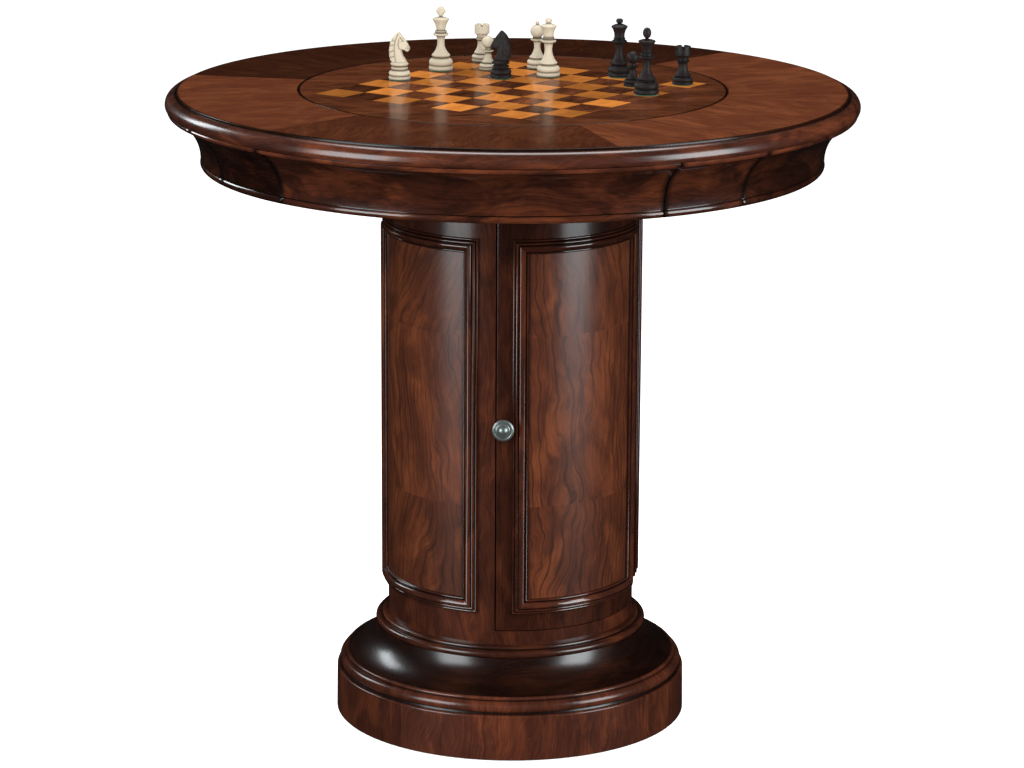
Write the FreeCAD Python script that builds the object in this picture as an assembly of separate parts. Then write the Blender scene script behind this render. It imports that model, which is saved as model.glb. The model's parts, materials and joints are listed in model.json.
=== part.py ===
import FreeCAD, Part
import math
import os

# A round counter-height gaming table on a cabinet pedestal: stepped base, column with a curved
# door, moulded apron with two curved drawers, ring top with a lift-out chess board over a
# felt-lined well, and the chess men in play on it.
#
# Frame: millimetres, +Z up, origin on the floor under the centre, front of the table towards -Y.
# Azimuths are degrees from the front (-Y) towards the right (+X).

Vector = FreeCAD.Vector
ORIGIN = Vector(0, 0, 0)
UP = Vector(0, 0, 1)

# ---- base -------------------------------------------------------------------------------
GLIDE_HEIGHT = 2.0
GLIDE_RADIUS = 15.0
GLIDE_CIRCLE = 235.0
GLIDE_COUNT = 6
PLINTH_RADIUS = 282.0
PLINTH_TOP = 75.0
SCOTIA_BOTTOM = 100.5
SCOTIA_TOP = 147.5
SCOTIA_FOOT_RADIUS = 262.6
SCOTIA_NECK_RADIUS = 216.0
COLLAR_RADIUS = 218.0
COLLAR_TOP = 164.4

# ---- column and cabinet -----------------------------------------------------------------
COLUMN_RADIUS = 197.6
COLUMN_WALL = 16.0
COLUMN_BORE = COLUMN_RADIUS - COLUMN_WALL
BOTTOM_RAIL_TOP = 186.5
TOP_RAIL_BOTTOM = 867.5
FLOOR_TOP = 182.0
SHELF_BOTTOM = 520.0
SHELF_THICKNESS = 12.0
SHELF_RADIUS = 178.0
SHELF_PIN_RADIUS = 2.5
SHELF_PIN_DEPTH = 8.0
SHELF_PIN_AZIMUTHS = (110.0, 160.0, 230.0, 325.0)

# ---- door: a quarter of the column, on pivot pins inside its right-hand edge --------------
DOOR_START = -7.2
DOOR_END = 82.8
DOOR_GAP = 1.5
DOOR_BOTTOM = BOTTOM_RAIL_TOP + DOOR_GAP
DOOR_TOP = TOP_RAIL_BOTTOM - DOOR_GAP
PIVOT_RADIUS = COLUMN_RADIUS - COLUMN_WALL / 2
PIVOT_AZIMUTH = DOOR_END - math.degrees((COLUMN_WALL / 2 + DOOR_GAP) / PIVOT_RADIUS)
PIN_RADIUS = 3.0
PIN_CLEARANCE = 0.05
PIN_REACH = 14.0
BUSH_RADIUS = 5.0
KNOB_AZIMUTH = -3.3
KNOB_Z = 517.7
KNOB_HEIGHT = 27.0
KNOB_SCREW_RADIUS = 2.0
CATCH_AZIMUTH = 3.0
CATCH_WIDTH = 30.0

# ---- panel frames ------------------------------------------------------------------------
PANEL_CENTRES = (37.8, 127.8, 217.8, 307.8)
FRAME_HALF_ANGLE = 37.2
FRAME_BOTTOM = 216.0
FRAME_TOP = 815.5
FRAME_WIDTH = 24.0
PANEL_THICKNESS = 1.2
# Each step of the frame moulding: inset of its outer side, inset of its inner side, stand-off.
FRAME_STEPS = ((0.0, 24.0, 5.0), (4.0, 20.0, 7.6), (9.0, 19.0, 10.8))

# ---- deck, apron and drawers -------------------------------------------------------------
DECK_BOTTOM = 893.0
DECK_TOP = 903.0
DECK_RADIUS = 430.0
APRON_BOTTOM = 899.0
APRON_TOP = 989.4
APRON_BEAD_RADIUS = 490.5
APRON_BEAD_TOP = 910.0
COVE_RADIUS = 80.0
COVE_FOOT = 490.0
TOP_BEAD_BOTTOM = 981.5
TOP_BEAD_RADIUS = 541.0
DRAWER_AZIMUTHS = {"front": -8.7, "rear": 171.3}
DRAWER_HALF_ANGLE = 35.6
DRAWER_GAP = 2.0
DRAWER_PROUD = 1.5
DRAWER_TOP_GAP = 1.0
APRON_JOINTS = (26.9, 44.35, 115.5, 135.7)
DRAWER_HALF_WIDTH = 238.0
DRAWER_BACK = 60.0
DRAWER_BOX_TOP = 957.0
DRAWER_WOOD = 10.0
DRAWER_BOTTOM_Z = 908.0
DRAWER_BOTTOM_THICKNESS = 6.0
DRAWER_FLOAT = 0.5
BEARER_HALF_WIDTH = 45.0
GUIDE_WIDTH = 7.0
GUIDE_HEIGHT = 14.0
GUIDE_FRONT = 325.0

# ---- game well, ring top and rim ----------------------------------------------------------
WELL_RADIUS = 336.0
WELL_WALL = 14.0
WELL_FLOOR_BOTTOM = 960.0
WELL_FLOOR_TOP = 968.0
FELT_THICKNESS = 1.2
TABLE_HEIGHT = 1016.0
TOP_UNDERSIDE = APRON_TOP
TOP_SEGMENT_COUNT = 6
TOP_FIRST_JOINT = 17.0
TOP_INNER = 336.2
TOP_OUTER = 526.4
RIM_RADIUS = 544.6
RIM_WIDEST_Z = 996.5
RIM_TOP = 1012.7
RIM_FOOT = 541.6
RIM_INNER = 528.4
RIM_GROOVE_Z = 1008.0

# ---- lift-out board ------------------------------------------------------------------------
INSERT_RADIUS = 335.6
INSERT_BOTTOM = 998.0
INLAY_BOTTOM = 1012.0
SQUARE = 55.2
BOARD_NEAR_CORNER = 10.6

# ---- chess men: height, foot radius and square (files to the right, ranks to the left,
# ---- both counted from the near corner of the board) ---------------------------------------
CHESS_MEN = {
    "white_king": ("king", 105.0, 19.2, 4.95, 7.05),
    "white_queen": ("queen", 93.0, 18.5, 5.90, 3.90),
    "white_bishop": ("bishop", 77.0, 16.5, 6.95, 5.00),
    "white_knight": ("knight", 77.0, 17.2, 2.90, 7.05),
    "white_rook": ("rook", 61.0, 16.5, 7.05, 7.05),
    "white_pawn": ("pawn", 55.0, 14.0, 5.85, 6.00),
    "black_king": ("king", 105.0, 19.2, 4.90, -0.10),
    "black_queen": ("queen", 93.0, 18.5, 7.05, 2.20),
    "black_knight": ("knight", 77.0, 17.2, 4.85, 4.85),
    "black_rook": ("rook", 61.0, 16.5, 7.00, 0.00),
    "black_pawn": ("pawn", 55.0, 14.0, 5.90, 1.00),
}
KNIGHT_FACING = {"white_knight": 80.0, "black_knight": -115.0}


# ---- shape helpers --------------------------------------------------------------------------

def spot(azimuth, radius, z):
    """Point at an azimuth, a radius and a height."""
    angle = math.radians(azimuth)
    return Vector(radius * math.sin(angle), -radius * math.cos(angle), z)


def outward(azimuth):
    """Unit direction away from the table's axis at an azimuth."""
    return spot(azimuth, 1.0, 0.0)


def spun(shape, angle):
    """The shape turned about the table's axis."""
    shape.rotate(ORIGIN, UP, angle)
    return shape


def outline(points):
    """Closed face in the radius-height plane.

    Each entry is a point (radius, z), or an arc given as ((radius, z) on it, (radius, z) at its end).
    """
    here = Vector(points[0][0], 0, points[0][1])
    first = here
    edges = []
    for entry in points[1:]:
        if isinstance(entry[0], tuple):
            through = Vector(entry[0][0], 0, entry[0][1])
            there = Vector(entry[1][0], 0, entry[1][1])
            edges.append(Part.Arc(here, through, there).toShape())
        else:
            there = Vector(entry[0], 0, entry[1])
            edges.append(Part.LineSegment(here, there).toShape())
        here = there
    edges.append(Part.LineSegment(here, first).toShape())
    return Part.Face(Part.Wire(edges))


def turned(points, start=0.0, sweep=360.0):
    """Solid of an outline revolved about the table's axis, from an azimuth."""
    solid = outline(points).revolve(ORIGIN, UP, sweep)
    return spun(solid, start - 90.0)


def ring(inner, outer, bottom, top, start=0.0, sweep=360.0):
    """Ring, or a sector of one, with a rectangular section."""
    return turned([(inner, bottom), (outer, bottom), (outer, top), (inner, top)], start, sweep)


def disc(radius, bottom, top):
    return Part.makeCylinder(radius, top - bottom, Vector(0, 0, bottom))


def rod(start, direction, radius, length):
    return Part.makeCylinder(radius, length, start, direction)


def block(left, right, near, far, bottom, top, azimuth):
    """Box across an azimuth: left and right of it, from near to far out from the axis."""
    box = Part.makeBox(right - left, far - near, top - bottom, Vector(left, -far, bottom))
    return spun(box, azimuth)


def arc_degrees(length, radius):
    return math.degrees(length / radius)


def save(name, *solids):
    """Write one node's solids to its STEP file."""
    shape = solids[0] if len(solids) == 1 else Part.makeCompound(list(solids))
    shape.exportStep(os.path.join("parts", name + ".step"))


# ---- base -----------------------------------------------------------------------------------

def make_base():
    glides = []
    for index in range(GLIDE_COUNT):
        centre = spot(30.0 + index * 360.0 / GLIDE_COUNT, GLIDE_CIRCLE, 0.0)
        glides.append(rod(centre, UP, GLIDE_RADIUS, GLIDE_HEIGHT))
    save("base_glides", *glides)

    plinth = turned([
        (0.0, GLIDE_HEIGHT),
        (PLINTH_RADIUS, GLIDE_HEIGHT),
        (PLINTH_RADIUS - 1.0, PLINTH_TOP - 3.0),
        ((PLINTH_RADIUS - 1.9, PLINTH_TOP - 0.9), (PLINTH_RADIUS - 4.0, PLINTH_TOP)),
        (PLINTH_RADIUS - 7.5, PLINTH_TOP),
        (PLINTH_RADIUS - 9.0, PLINTH_TOP + 2.5),
        ((PLINTH_RADIUS - 5.6, PLINTH_TOP + 10.0), (PLINTH_RADIUS - 13.5, PLINTH_TOP + 19.5)),
        (PLINTH_RADIUS - 15.5, PLINTH_TOP + 20.0),
        ((PLINTH_RADIUS - 14.6, PLINTH_TOP + 23.2), (SCOTIA_FOOT_RADIUS, SCOTIA_BOTTOM)),
        (0.0, SCOTIA_BOTTOM),
    ])
    save("plinth", plinth)

    scotia = turned([
        (0.0, SCOTIA_BOTTOM),
        (SCOTIA_FOOT_RADIUS, SCOTIA_BOTTOM),
        ((SCOTIA_FOOT_RADIUS - 28.1, SCOTIA_BOTTOM + 18.1), (SCOTIA_NECK_RADIUS, SCOTIA_TOP)),
        (0.0, SCOTIA_TOP),
    ])
    save("base_scotia", scotia)

    collar = turned([
        (0.0, SCOTIA_TOP),
        (COLLAR_RADIUS - 3.4, SCOTIA_TOP),
        ((COLLAR_RADIUS, SCOTIA_TOP + 5.2), (COLLAR_RADIUS - 6.0, SCOTIA_TOP + 11.2)),
        (COLLAR_RADIUS - 10.8, SCOTIA_TOP + 11.2),
        ((COLLAR_RADIUS - 10.6, SCOTIA_TOP + 14.6), (COLLAR_RADIUS - 14.2, COLLAR_TOP)),
        (0.0, COLLAR_TOP),
    ])
    save("base_collar", collar)


# ---- column -----------------------------------------------------------------------------------

def shelf_pins():
    length = SHELF_PIN_DEPTH + COLUMN_BORE - SHELF_RADIUS + 12.0
    pins = []
    for azimuth in SHELF_PIN_AZIMUTHS:
        foot = spot(azimuth, COLUMN_BORE + SHELF_PIN_DEPTH, SHELF_BOTTOM - SHELF_PIN_RADIUS)
        pins.append(rod(foot, outward(azimuth).negative(), SHELF_PIN_RADIUS, length))
    return pins


def pivot_pin_hole(bottom, top):
    return rod(spot(PIVOT_AZIMUTH, PIVOT_RADIUS, bottom), UP, PIN_RADIUS, top - bottom)


def deck_screws():
    screws = []
    for index in range(6):
        azimuth = 15.0 + index * 60.0
        shank = rod(spot(azimuth, PIVOT_RADIUS, DECK_BOTTOM - 18.0), UP, 2.2, 26.0)
        head = rod(spot(azimuth, PIVOT_RADIUS, DECK_TOP - 3.0), UP, 4.5, 3.0)
        screws.append(shank.fuse(head).removeSplitter())
    return screws


def make_column():
    pins = shelf_pins()
    save("shelf_pins", *pins)
    save("cabinet_floor", disc(COLUMN_BORE, COLLAR_TOP, FLOOR_TOP))
    save("cabinet_shelf", disc(SHELF_RADIUS, SHELF_BOTTOM, SHELF_BOTTOM + SHELF_THICKNESS))

    bottom_rail = ring(COLUMN_BORE, COLUMN_RADIUS, COLLAR_TOP, BOTTOM_RAIL_TOP)
    save("column_bottom_rail", bottom_rail.cut(pivot_pin_hole(BOTTOM_RAIL_TOP - 12.0, BOTTOM_RAIL_TOP)))
    top_rail = ring(COLUMN_BORE, COLUMN_RADIUS, TOP_RAIL_BOTTOM, DECK_BOTTOM)
    top_rail = top_rail.cut(pivot_pin_hole(TOP_RAIL_BOTTOM, TOP_RAIL_BOTTOM + 12.0))
    for screw in deck_screws():
        top_rail = top_rail.cut(screw)
    save("column_top_rail", top_rail)

    quarters = []
    for index in range(3):
        quarter = ring(COLUMN_BORE, COLUMN_RADIUS, BOTTOM_RAIL_TOP, TOP_RAIL_BOTTOM,
                       DOOR_END + index * 90.0, 90.0)
        for pin in pins:
            quarter = quarter.cut(pin)
        quarters.append(quarter)
    save("column_shell", *quarters)


def frame_band(centre, inset_out, inset_in, stand_off):
    """Rectangular band wrapped round the column, between two insets from the frame's outside."""
    def patch(inset, extra):
        half = FRAME_HALF_ANGLE - arc_degrees(inset, COLUMN_RADIUS)
        return ring(COLUMN_RADIUS - extra, COLUMN_RADIUS + stand_off + extra,
                    FRAME_BOTTOM + inset, FRAME_TOP - inset, centre - half, 2.0 * half)
    return patch(inset_out, 0.0).cut(patch(inset_in, 1.0))


def panel_frame(centre):
    frame = frame_band(centre, *FRAME_STEPS[0])
    for step in FRAME_STEPS[1:]:
        frame = frame.fuse(frame_band(centre, *step))
    return frame.removeSplitter()


def figured_panel(centre):
    half = FRAME_HALF_ANGLE - arc_degrees(FRAME_WIDTH, COLUMN_RADIUS)
    return ring(COLUMN_RADIUS, COLUMN_RADIUS + PANEL_THICKNESS,
                FRAME_BOTTOM + FRAME_WIDTH, FRAME_TOP - FRAME_WIDTH, centre - half, 2.0 * half)


def make_panels():
    save("door_panel_frame", panel_frame(PANEL_CENTRES[0]))
    save("door_figured_panel", figured_panel(PANEL_CENTRES[0]))
    save("side_panel_frames", *[panel_frame(centre) for centre in PANEL_CENTRES[1:]])
    save("side_figured_panels", *[figured_panel(centre) for centre in PANEL_CENTRES[1:]])


# ---- door ---------------------------------------------------------------------------------------

def dome_arc(foot_radius, foot_z, top_z):
    """Spherical dome from a circle up to the axis: the arc's middle point and its end."""
    rise = top_z - foot_z
    radius = (foot_radius ** 2 + rise ** 2) / (2.0 * rise)
    half_angle = math.asin(foot_radius / radius) / 2.0
    middle = (radius * math.sin(half_angle), top_z - radius * (1.0 - math.cos(half_angle)))
    return middle, (0.0, top_z)


def knob_shape():
    """Turned knob along +Z, foot at z 0, with its blind screw hole."""
    profile = [
        (0.0, 0.0), (9.0, 0.0), (9.0, 1.6), ((6.8, 2.6), (6.2, 5.0)), (6.2, 9.0),
        ((9.0, 13.6), (15.4, 15.6)), ((17.2, 17.6), (15.6, 19.8)), (12.0, 20.8),
        (11.6, 20.0), dome_arc(11.6, 20.0, KNOB_HEIGHT),
    ]
    return outline(profile).revolve(ORIGIN, UP, 360.0).cut(rod(ORIGIN, UP, KNOB_SCREW_RADIUS, 14.0))


def along_knob(shape, radius):
    """Stand a shape made along +Z on the column at the knob, pointing outwards."""
    shape.rotate(ORIGIN, Vector(1, 0, 0), 90.0)
    shape.rotate(ORIGIN, UP, KNOB_AZIMUTH)
    shape.translate(spot(KNOB_AZIMUTH, radius, KNOB_Z))
    return shape


def make_door():
    free_edge = DOOR_START + arc_degrees(DOOR_GAP, COLUMN_RADIUS)
    leaf = ring(COLUMN_BORE, COLUMN_RADIUS, DOOR_BOTTOM, DOOR_TOP, free_edge, PIVOT_AZIMUTH - free_edge)
    stile_end = rod(spot(PIVOT_AZIMUTH, PIVOT_RADIUS, DOOR_BOTTOM), UP, COLUMN_WALL / 2, DOOR_TOP - DOOR_BOTTOM)
    leaf = leaf.fuse(stile_end).removeSplitter()

    pins = []
    bushes = []
    bush_length = PIN_REACH + 1.0
    for face, sign in ((DOOR_BOTTOM, 1.0), (DOOR_TOP, -1.0)):
        along = Vector(0, 0, sign)
        seat = spot(PIVOT_AZIMUTH, PIVOT_RADIUS, face)
        pin_foot = seat - along * (DOOR_GAP + 12.0)
        pin = rod(pin_foot, along, PIN_RADIUS, 12.0 + DOOR_GAP + PIN_REACH)
        shoulder = rod(seat - along * DOOR_GAP, along, BUSH_RADIUS, DOOR_GAP)
        pins.append(pin.fuse(shoulder).removeSplitter())
        bush = rod(seat, along, BUSH_RADIUS, bush_length)
        bushes.append(bush.cut(rod(seat, along, PIN_RADIUS + PIN_CLEARANCE, bush_length)))
        leaf = leaf.cut(rod(seat, along, BUSH_RADIUS, bush_length))
    save("door_pivot_pins", *pins)
    save("door_pivot_bushes", *bushes)

    screw_hole = along_knob(rod(ORIGIN, UP, KNOB_SCREW_RADIUS + 0.2, COLUMN_WALL + 8.0), COLUMN_BORE - 4.0)
    save("door_leaf", leaf.cut(screw_hole))
    save("door_knob", along_knob(knob_shape(), COLUMN_RADIUS + 0.1))
    shank = rod(ORIGIN, UP, KNOB_SCREW_RADIUS, COLUMN_WALL + 14.0)
    head = rod(Vector(0, 0, -2.5), UP, 4.0, 2.5)
    save("door_knob_screw", along_knob(shank.fuse(head).removeSplitter(), COLUMN_BORE - 0.1))

    strike_half = arc_degrees(CATCH_WIDTH / 2, COLUMN_BORE)
    save("door_strike", ring(COLUMN_BORE - 1.2, COLUMN_BORE, DOOR_TOP - 18.0, DOOR_TOP - 3.0,
                             CATCH_AZIMUTH - strike_half, 2.0 * strike_half))
    half = CATCH_WIDTH / 2
    hanger = block(-half, half, COLUMN_BORE - 16.0, COLUMN_BORE - 1.0, TOP_RAIL_BOTTOM, DECK_BOTTOM, CATCH_AZIMUTH)
    magnet = block(-half, half, COLUMN_BORE - 16.0, COLUMN_BORE - 3.0, DOOR_TOP - 18.0, TOP_RAIL_BOTTOM, CATCH_AZIMUTH)
    save("door_catch", hanger.fuse(magnet).removeSplitter())


# ---- deck, apron and drawers -----------------------------------------------------------------

def apron_outline(inner, bottom, top, proud):
    """Section of the apron: bottom bead, quirk, cove and top bead."""
    bead = APRON_BEAD_RADIUS + proud
    top_bead = TOP_BEAD_RADIUS + proud
    centre = COVE_FOOT + COVE_RADIUS + proud
    floor = APRON_BEAD_TOP + 1.4
    rise = TOP_BEAD_BOTTOM - floor
    cove_mid = centre - math.sqrt(COVE_RADIUS ** 2 - (rise / 2) ** 2)
    cove_end = centre - math.sqrt(COVE_RADIUS ** 2 - rise ** 2)
    return [
        (inner, bottom),
        (bead - 3.5, bottom),
        ((bead, bottom + 4.0), (bead - 1.5, APRON_BEAD_TOP - 0.6)),
        (bead - 3.6, APRON_BEAD_TOP),
        (bead - 3.6, floor),
        (COVE_FOOT + proud, floor),
        ((cove_mid, floor + rise / 2), (cove_end, TOP_BEAD_BOTTOM)),
        ((top_bead - 1.2, TOP_BEAD_BOTTOM + 2.4), (top_bead, TOP_BEAD_BOTTOM + 5.6)),
        (top_bead - 1.2, top),
        (inner, top),
    ]


def make_deck():
    screws = deck_screws()
    deck = disc(DECK_RADIUS, DECK_BOTTOM, DECK_TOP)
    for screw in screws:
        deck = deck.cut(screw)
    save("drawer_deck", deck)
    save("deck_screws", *screws)
    front = DRAWER_AZIMUTHS["front"]
    save("centre_bearer", block(-DRAWER_HALF_WIDTH, DRAWER_HALF_WIDTH, -BEARER_HALF_WIDTH, BEARER_HALF_WIDTH,
                                DECK_TOP, WELL_FLOOR_BOTTOM, front))
    guides = []
    inside = DRAWER_HALF_WIDTH + 2.0
    for azimuth in DRAWER_AZIMUTHS.values():
        for left in (inside, -inside - GUIDE_WIDTH):
            guides.append(block(left, left + GUIDE_WIDTH, DRAWER_BACK, GUIDE_FRONT,
                                DECK_TOP, DECK_TOP + GUIDE_HEIGHT, azimuth))
    save("drawer_guides", *guides)


def make_apron():
    section = apron_outline(DECK_RADIUS, APRON_BOTTOM, APRON_TOP, 0.0)
    places = ("front", "middle", "rear")
    for side, turn in (("right", 0.0), ("left", 180.0)):
        order = places if side == "right" else places[::-1]
        for place, start, end in zip(order, APRON_JOINTS[:-1], APRON_JOINTS[1:]):
            save("apron_" + side + "_" + place, turned(section, start + turn, end - start))


def make_drawer(name, azimuth):
    half = DRAWER_HALF_ANGLE - arc_degrees(DRAWER_GAP, APRON_BEAD_RADIUS)
    section = apron_outline(DECK_RADIUS + 0.6, APRON_BOTTOM + 0.5, APRON_TOP - DRAWER_TOP_GAP, DRAWER_PROUD)
    save(name + "_drawer_face", turned(section, azimuth - half, 2.0 * half))

    low = DECK_TOP + DRAWER_FLOAT
    reach = disc(DECK_RADIUS + 0.6, DECK_TOP, DRAWER_BOX_TOP)
    wide = DRAWER_HALF_WIDTH
    inside = wide - DRAWER_WOOD
    sides = []
    for left in (-wide, inside):
        side = block(left, left + DRAWER_WOOD, DRAWER_BACK, DECK_RADIUS, low, DRAWER_BOX_TOP, azimuth)
        sides.append(side.common(reach))
    save(name + "_drawer_sides", *sides)
    save(name + "_drawer_back", block(-inside, inside, DRAWER_BACK, DRAWER_BACK + DRAWER_WOOD,
                                      low, DRAWER_BOX_TOP, azimuth))
    bottom = block(-inside, inside, DRAWER_BACK + DRAWER_WOOD, DECK_RADIUS + 1.0,
                   DRAWER_BOTTOM_Z, DRAWER_BOTTOM_Z + DRAWER_BOTTOM_THICKNESS, azimuth)
    save(name + "_drawer_bottom", bottom.common(reach))


# ---- game well, top and rim ----------------------------------------------------------------------

def make_top():
    save("well_floor", disc(WELL_RADIUS, WELL_FLOOR_BOTTOM, WELL_FLOOR_TOP))
    save("well_wall", ring(WELL_RADIUS - WELL_WALL, WELL_RADIUS, WELL_FLOOR_TOP, INSERT_BOTTOM))
    save("well_felt", disc(WELL_RADIUS - WELL_WALL - 0.4, WELL_FLOOR_TOP, WELL_FLOOR_TOP + FELT_THICKNESS))

    segment_angle = 360.0 / TOP_SEGMENT_COUNT
    section = [
        (TOP_INNER, TOP_UNDERSIDE), (TOP_OUTER, TOP_UNDERSIDE), (TOP_OUTER, TABLE_HEIGHT - 1.6),
        ((TOP_OUTER - 0.5, TABLE_HEIGHT - 0.5), (TOP_OUTER - 1.6, TABLE_HEIGHT)),
        (TOP_INNER + 0.6, TABLE_HEIGHT), (TOP_INNER, TABLE_HEIGHT - 0.6),
    ]
    segments = []
    for index in range(TOP_SEGMENT_COUNT):
        segments.append(turned(section, TOP_FIRST_JOINT + index * segment_angle, segment_angle))
    save("top_segments", *segments)

    high = RIM_TOP - RIM_WIDEST_Z
    rim = turned([
        (TOP_OUTER + 0.2, TOP_UNDERSIDE),
        (RIM_FOOT, TOP_UNDERSIDE),
        ((RIM_RADIUS - 0.8, RIM_WIDEST_Z - 3.9), (RIM_RADIUS, RIM_WIDEST_Z)),
        ((RIM_RADIUS - 0.29 * high, RIM_TOP - 0.29 * high), (RIM_RADIUS - high, RIM_TOP)),
        (RIM_INNER, RIM_TOP - 0.6),
        (RIM_INNER, RIM_GROOVE_Z),
        (TOP_OUTER + 0.2, RIM_GROOVE_Z),
    ])
    save("rim_moulding", rim)


# ---- board ------------------------------------------------------------------------------------------

def board_point(file, rank):
    """Centre of a square, counted from the board's near corner."""
    toward_right = outward(BOARD_NEAR_CORNER + 135.0)
    toward_left = outward(BOARD_NEAR_CORNER - 135.0)
    near_corner = outward(BOARD_NEAR_CORNER) * (4.0 * SQUARE * math.sqrt(2.0))
    return near_corner + toward_right * (SQUARE * (file + 0.5)) + toward_left * (SQUARE * (rank + 0.5))


def board_block(centre, size):
    box = Part.makeBox(size, size, TABLE_HEIGHT - INLAY_BOTTOM, Vector(-size / 2, -size / 2, INLAY_BOTTOM))
    spun(box, BOARD_NEAR_CORNER + 45.0)
    box.translate(centre)
    return box


def make_board():
    save("board_core", disc(INSERT_RADIUS, INSERT_BOTTOM, INLAY_BOTTOM))
    top = turned([
        (0.0, INLAY_BOTTOM), (INSERT_RADIUS, INLAY_BOTTOM), (INSERT_RADIUS, TABLE_HEIGHT - 0.6),
        (INSERT_RADIUS - 0.6, TABLE_HEIGHT), (0.0, TABLE_HEIGHT),
    ])
    save("board_border", top.cut(board_block(ORIGIN, 8.0 * SQUARE)))
    squares = {"board_dark_squares": [], "board_light_squares": []}
    for file in range(8):
        for rank in range(8):
            name = "board_light_squares" if (file + rank) % 2 else "board_dark_squares"
            squares[name].append(board_block(board_point(file, rank), SQUARE))
    for name, solids in squares.items():
        save(name, *solids)


# ---- chess men -----------------------------------------------------------------------------------

def chess_foot(radius, height):
    """Stepped foot and waisted stem up to the collar: points from the axis outwards and up."""
    return [
        (0.0, 0.0), (radius, 0.0), (radius, 0.05 * height),
        ((radius - 0.4, 0.09 * height), (0.82 * radius, 0.13 * height)),
        (0.74 * radius, 0.16 * height),
    ]


def lathe(points):
    return outline(points).revolve(ORIGIN, UP, 360.0)


def stem_and_head(radius, height, stem_top, neck, collar, head):
    """Lathe outline of a man with a concave stem, a collar and a head given in fractions."""
    points = chess_foot(radius, height)
    stem_z = stem_top * height
    middle = (neck * radius * 1.12, 0.16 * height + 0.52 * (stem_z - 0.16 * height))
    points.append((middle, (neck * radius, stem_z)))
    points.append((collar * radius, stem_z))
    points.append((collar * radius, stem_z + 0.035 * height))
    for part_radius, part_z in head:
        points.append((part_radius * radius, part_z * height))
    return points


# Stem top, neck, collar and head of each man, as fractions of its height and foot radius.
HEADS = {
    "king": (
        0.55, 0.38, 0.64,
        ((0.36, 0.61), (0.645, 0.79), (0.50, 0.81), (0.16, 0.825), (0.33, 0.88), (0.31, 0.95), (0.0, 1.0)),
    ),
    "queen": (
        0.60, 0.40, 0.66,
        ((0.46, 0.69), (0.72, 0.865), (0.46, 0.90), (0.16, 0.92), (0.30, 0.955), (0.22, 0.985), (0.0, 1.0)),
    ),
    "bishop": (
        0.60, 0.38, 0.64,
        ((0.36, 0.66), (0.64, 0.73), (0.69, 0.80), (0.52, 0.89), (0.14, 0.93), (0.18, 0.965), (0.0, 1.0)),
    ),
    "rook": (
        0.60, 0.50, 0.64,
        ((0.54, 0.69), (0.74, 0.76), (0.74, 1.0), (0.50, 1.0), (0.50, 0.90), (0.0, 0.90)),
    ),
    "pawn": (
        0.54, 0.38, 0.64,
        ((0.36, 0.61), (0.64, 0.72), (0.71, 0.82), (0.52, 0.95), (0.0, 1.0)),
    ),
}


def knight(radius, height, facing):
    """Turned foot with a carved head, thick enough to hold the muzzle, looking along an azimuth."""
    foot = lathe(chess_foot(radius, height) + [(0.66 * radius, 0.26 * height), (0.0, 0.26 * height)])
    side = ((-0.62, 0.25), (0.62, 0.25), (0.34, 0.46), (0.86, 0.60), (0.80, 0.72), (0.30, 0.92),
            (0.02, 1.0), (-0.30, 0.93), (-0.62, 0.68), (-0.66, 0.45))
    corners = [Vector(0, -out * radius, up * height) for out, up in side]
    wire = Part.makePolygon(corners + corners[:1])
    width = 0.80 * radius
    head = Part.Face(wire).extrude(Vector(width, 0, 0))
    head.translate(Vector(-width / 2, 0, 0))
    return spun(foot.fuse(head).removeSplitter(), facing)


def make_chess_men():
    for name, (kind, height, radius, file, rank) in CHESS_MEN.items():
        if kind == "knight":
            man = knight(radius, height, KNIGHT_FACING[name])
        else:
            man = lathe(stem_and_head(radius, height, *HEADS[kind]))
        man.translate(board_point(file, rank) + Vector(0, 0, TABLE_HEIGHT))
        save(name, man)


def main():
    os.makedirs("parts", exist_ok=True)
    make_base()
    make_column()
    make_panels()
    make_door()
    make_deck()
    make_apron()
    for name, azimuth in DRAWER_AZIMUTHS.items():
        make_drawer(name, azimuth)
    make_top()
    make_board()
    make_chess_men()


main()
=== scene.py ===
import json
import math
import random

import bmesh
import bpy
from mathutils import Matrix, Vector


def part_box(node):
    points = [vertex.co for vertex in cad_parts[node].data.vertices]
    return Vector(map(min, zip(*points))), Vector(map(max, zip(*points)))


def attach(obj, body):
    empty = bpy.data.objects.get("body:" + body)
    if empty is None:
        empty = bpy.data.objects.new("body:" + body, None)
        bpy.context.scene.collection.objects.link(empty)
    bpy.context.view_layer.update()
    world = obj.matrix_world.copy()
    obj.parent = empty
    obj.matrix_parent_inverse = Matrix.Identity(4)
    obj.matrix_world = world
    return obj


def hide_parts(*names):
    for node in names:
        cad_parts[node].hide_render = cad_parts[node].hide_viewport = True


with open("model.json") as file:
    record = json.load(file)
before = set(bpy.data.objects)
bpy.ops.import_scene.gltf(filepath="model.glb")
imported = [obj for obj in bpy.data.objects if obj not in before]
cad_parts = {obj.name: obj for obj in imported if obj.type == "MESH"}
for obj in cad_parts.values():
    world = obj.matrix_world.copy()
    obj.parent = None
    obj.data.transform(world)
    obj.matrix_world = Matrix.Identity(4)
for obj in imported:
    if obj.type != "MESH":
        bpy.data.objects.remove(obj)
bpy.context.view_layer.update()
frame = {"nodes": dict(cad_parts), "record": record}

bl_info = {
    "name": "Pedestal gaming table",
    "version": (1, 0, 0),
    "blender": (4, 5, 0),
    "location": "View3D > Sidebar > Gaming table",
    "description": "Builds a round cherry gaming table with a cabinet pedestal, drawers, chess board and men",
    "category": "Add Mesh",
}

# Sizes in this file are in millimetres and become metres when a mesh is made.
# Azimuths are degrees from the table's front (-Y) towards its right (+X).
MM = 0.001


def high(node):
    """Highest corner of a node's box, in millimetres."""
    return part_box(node)[1] / MM


def low(node):
    """Lowest corner of a node's box, in millimetres."""
    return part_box(node)[0] / MM


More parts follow.
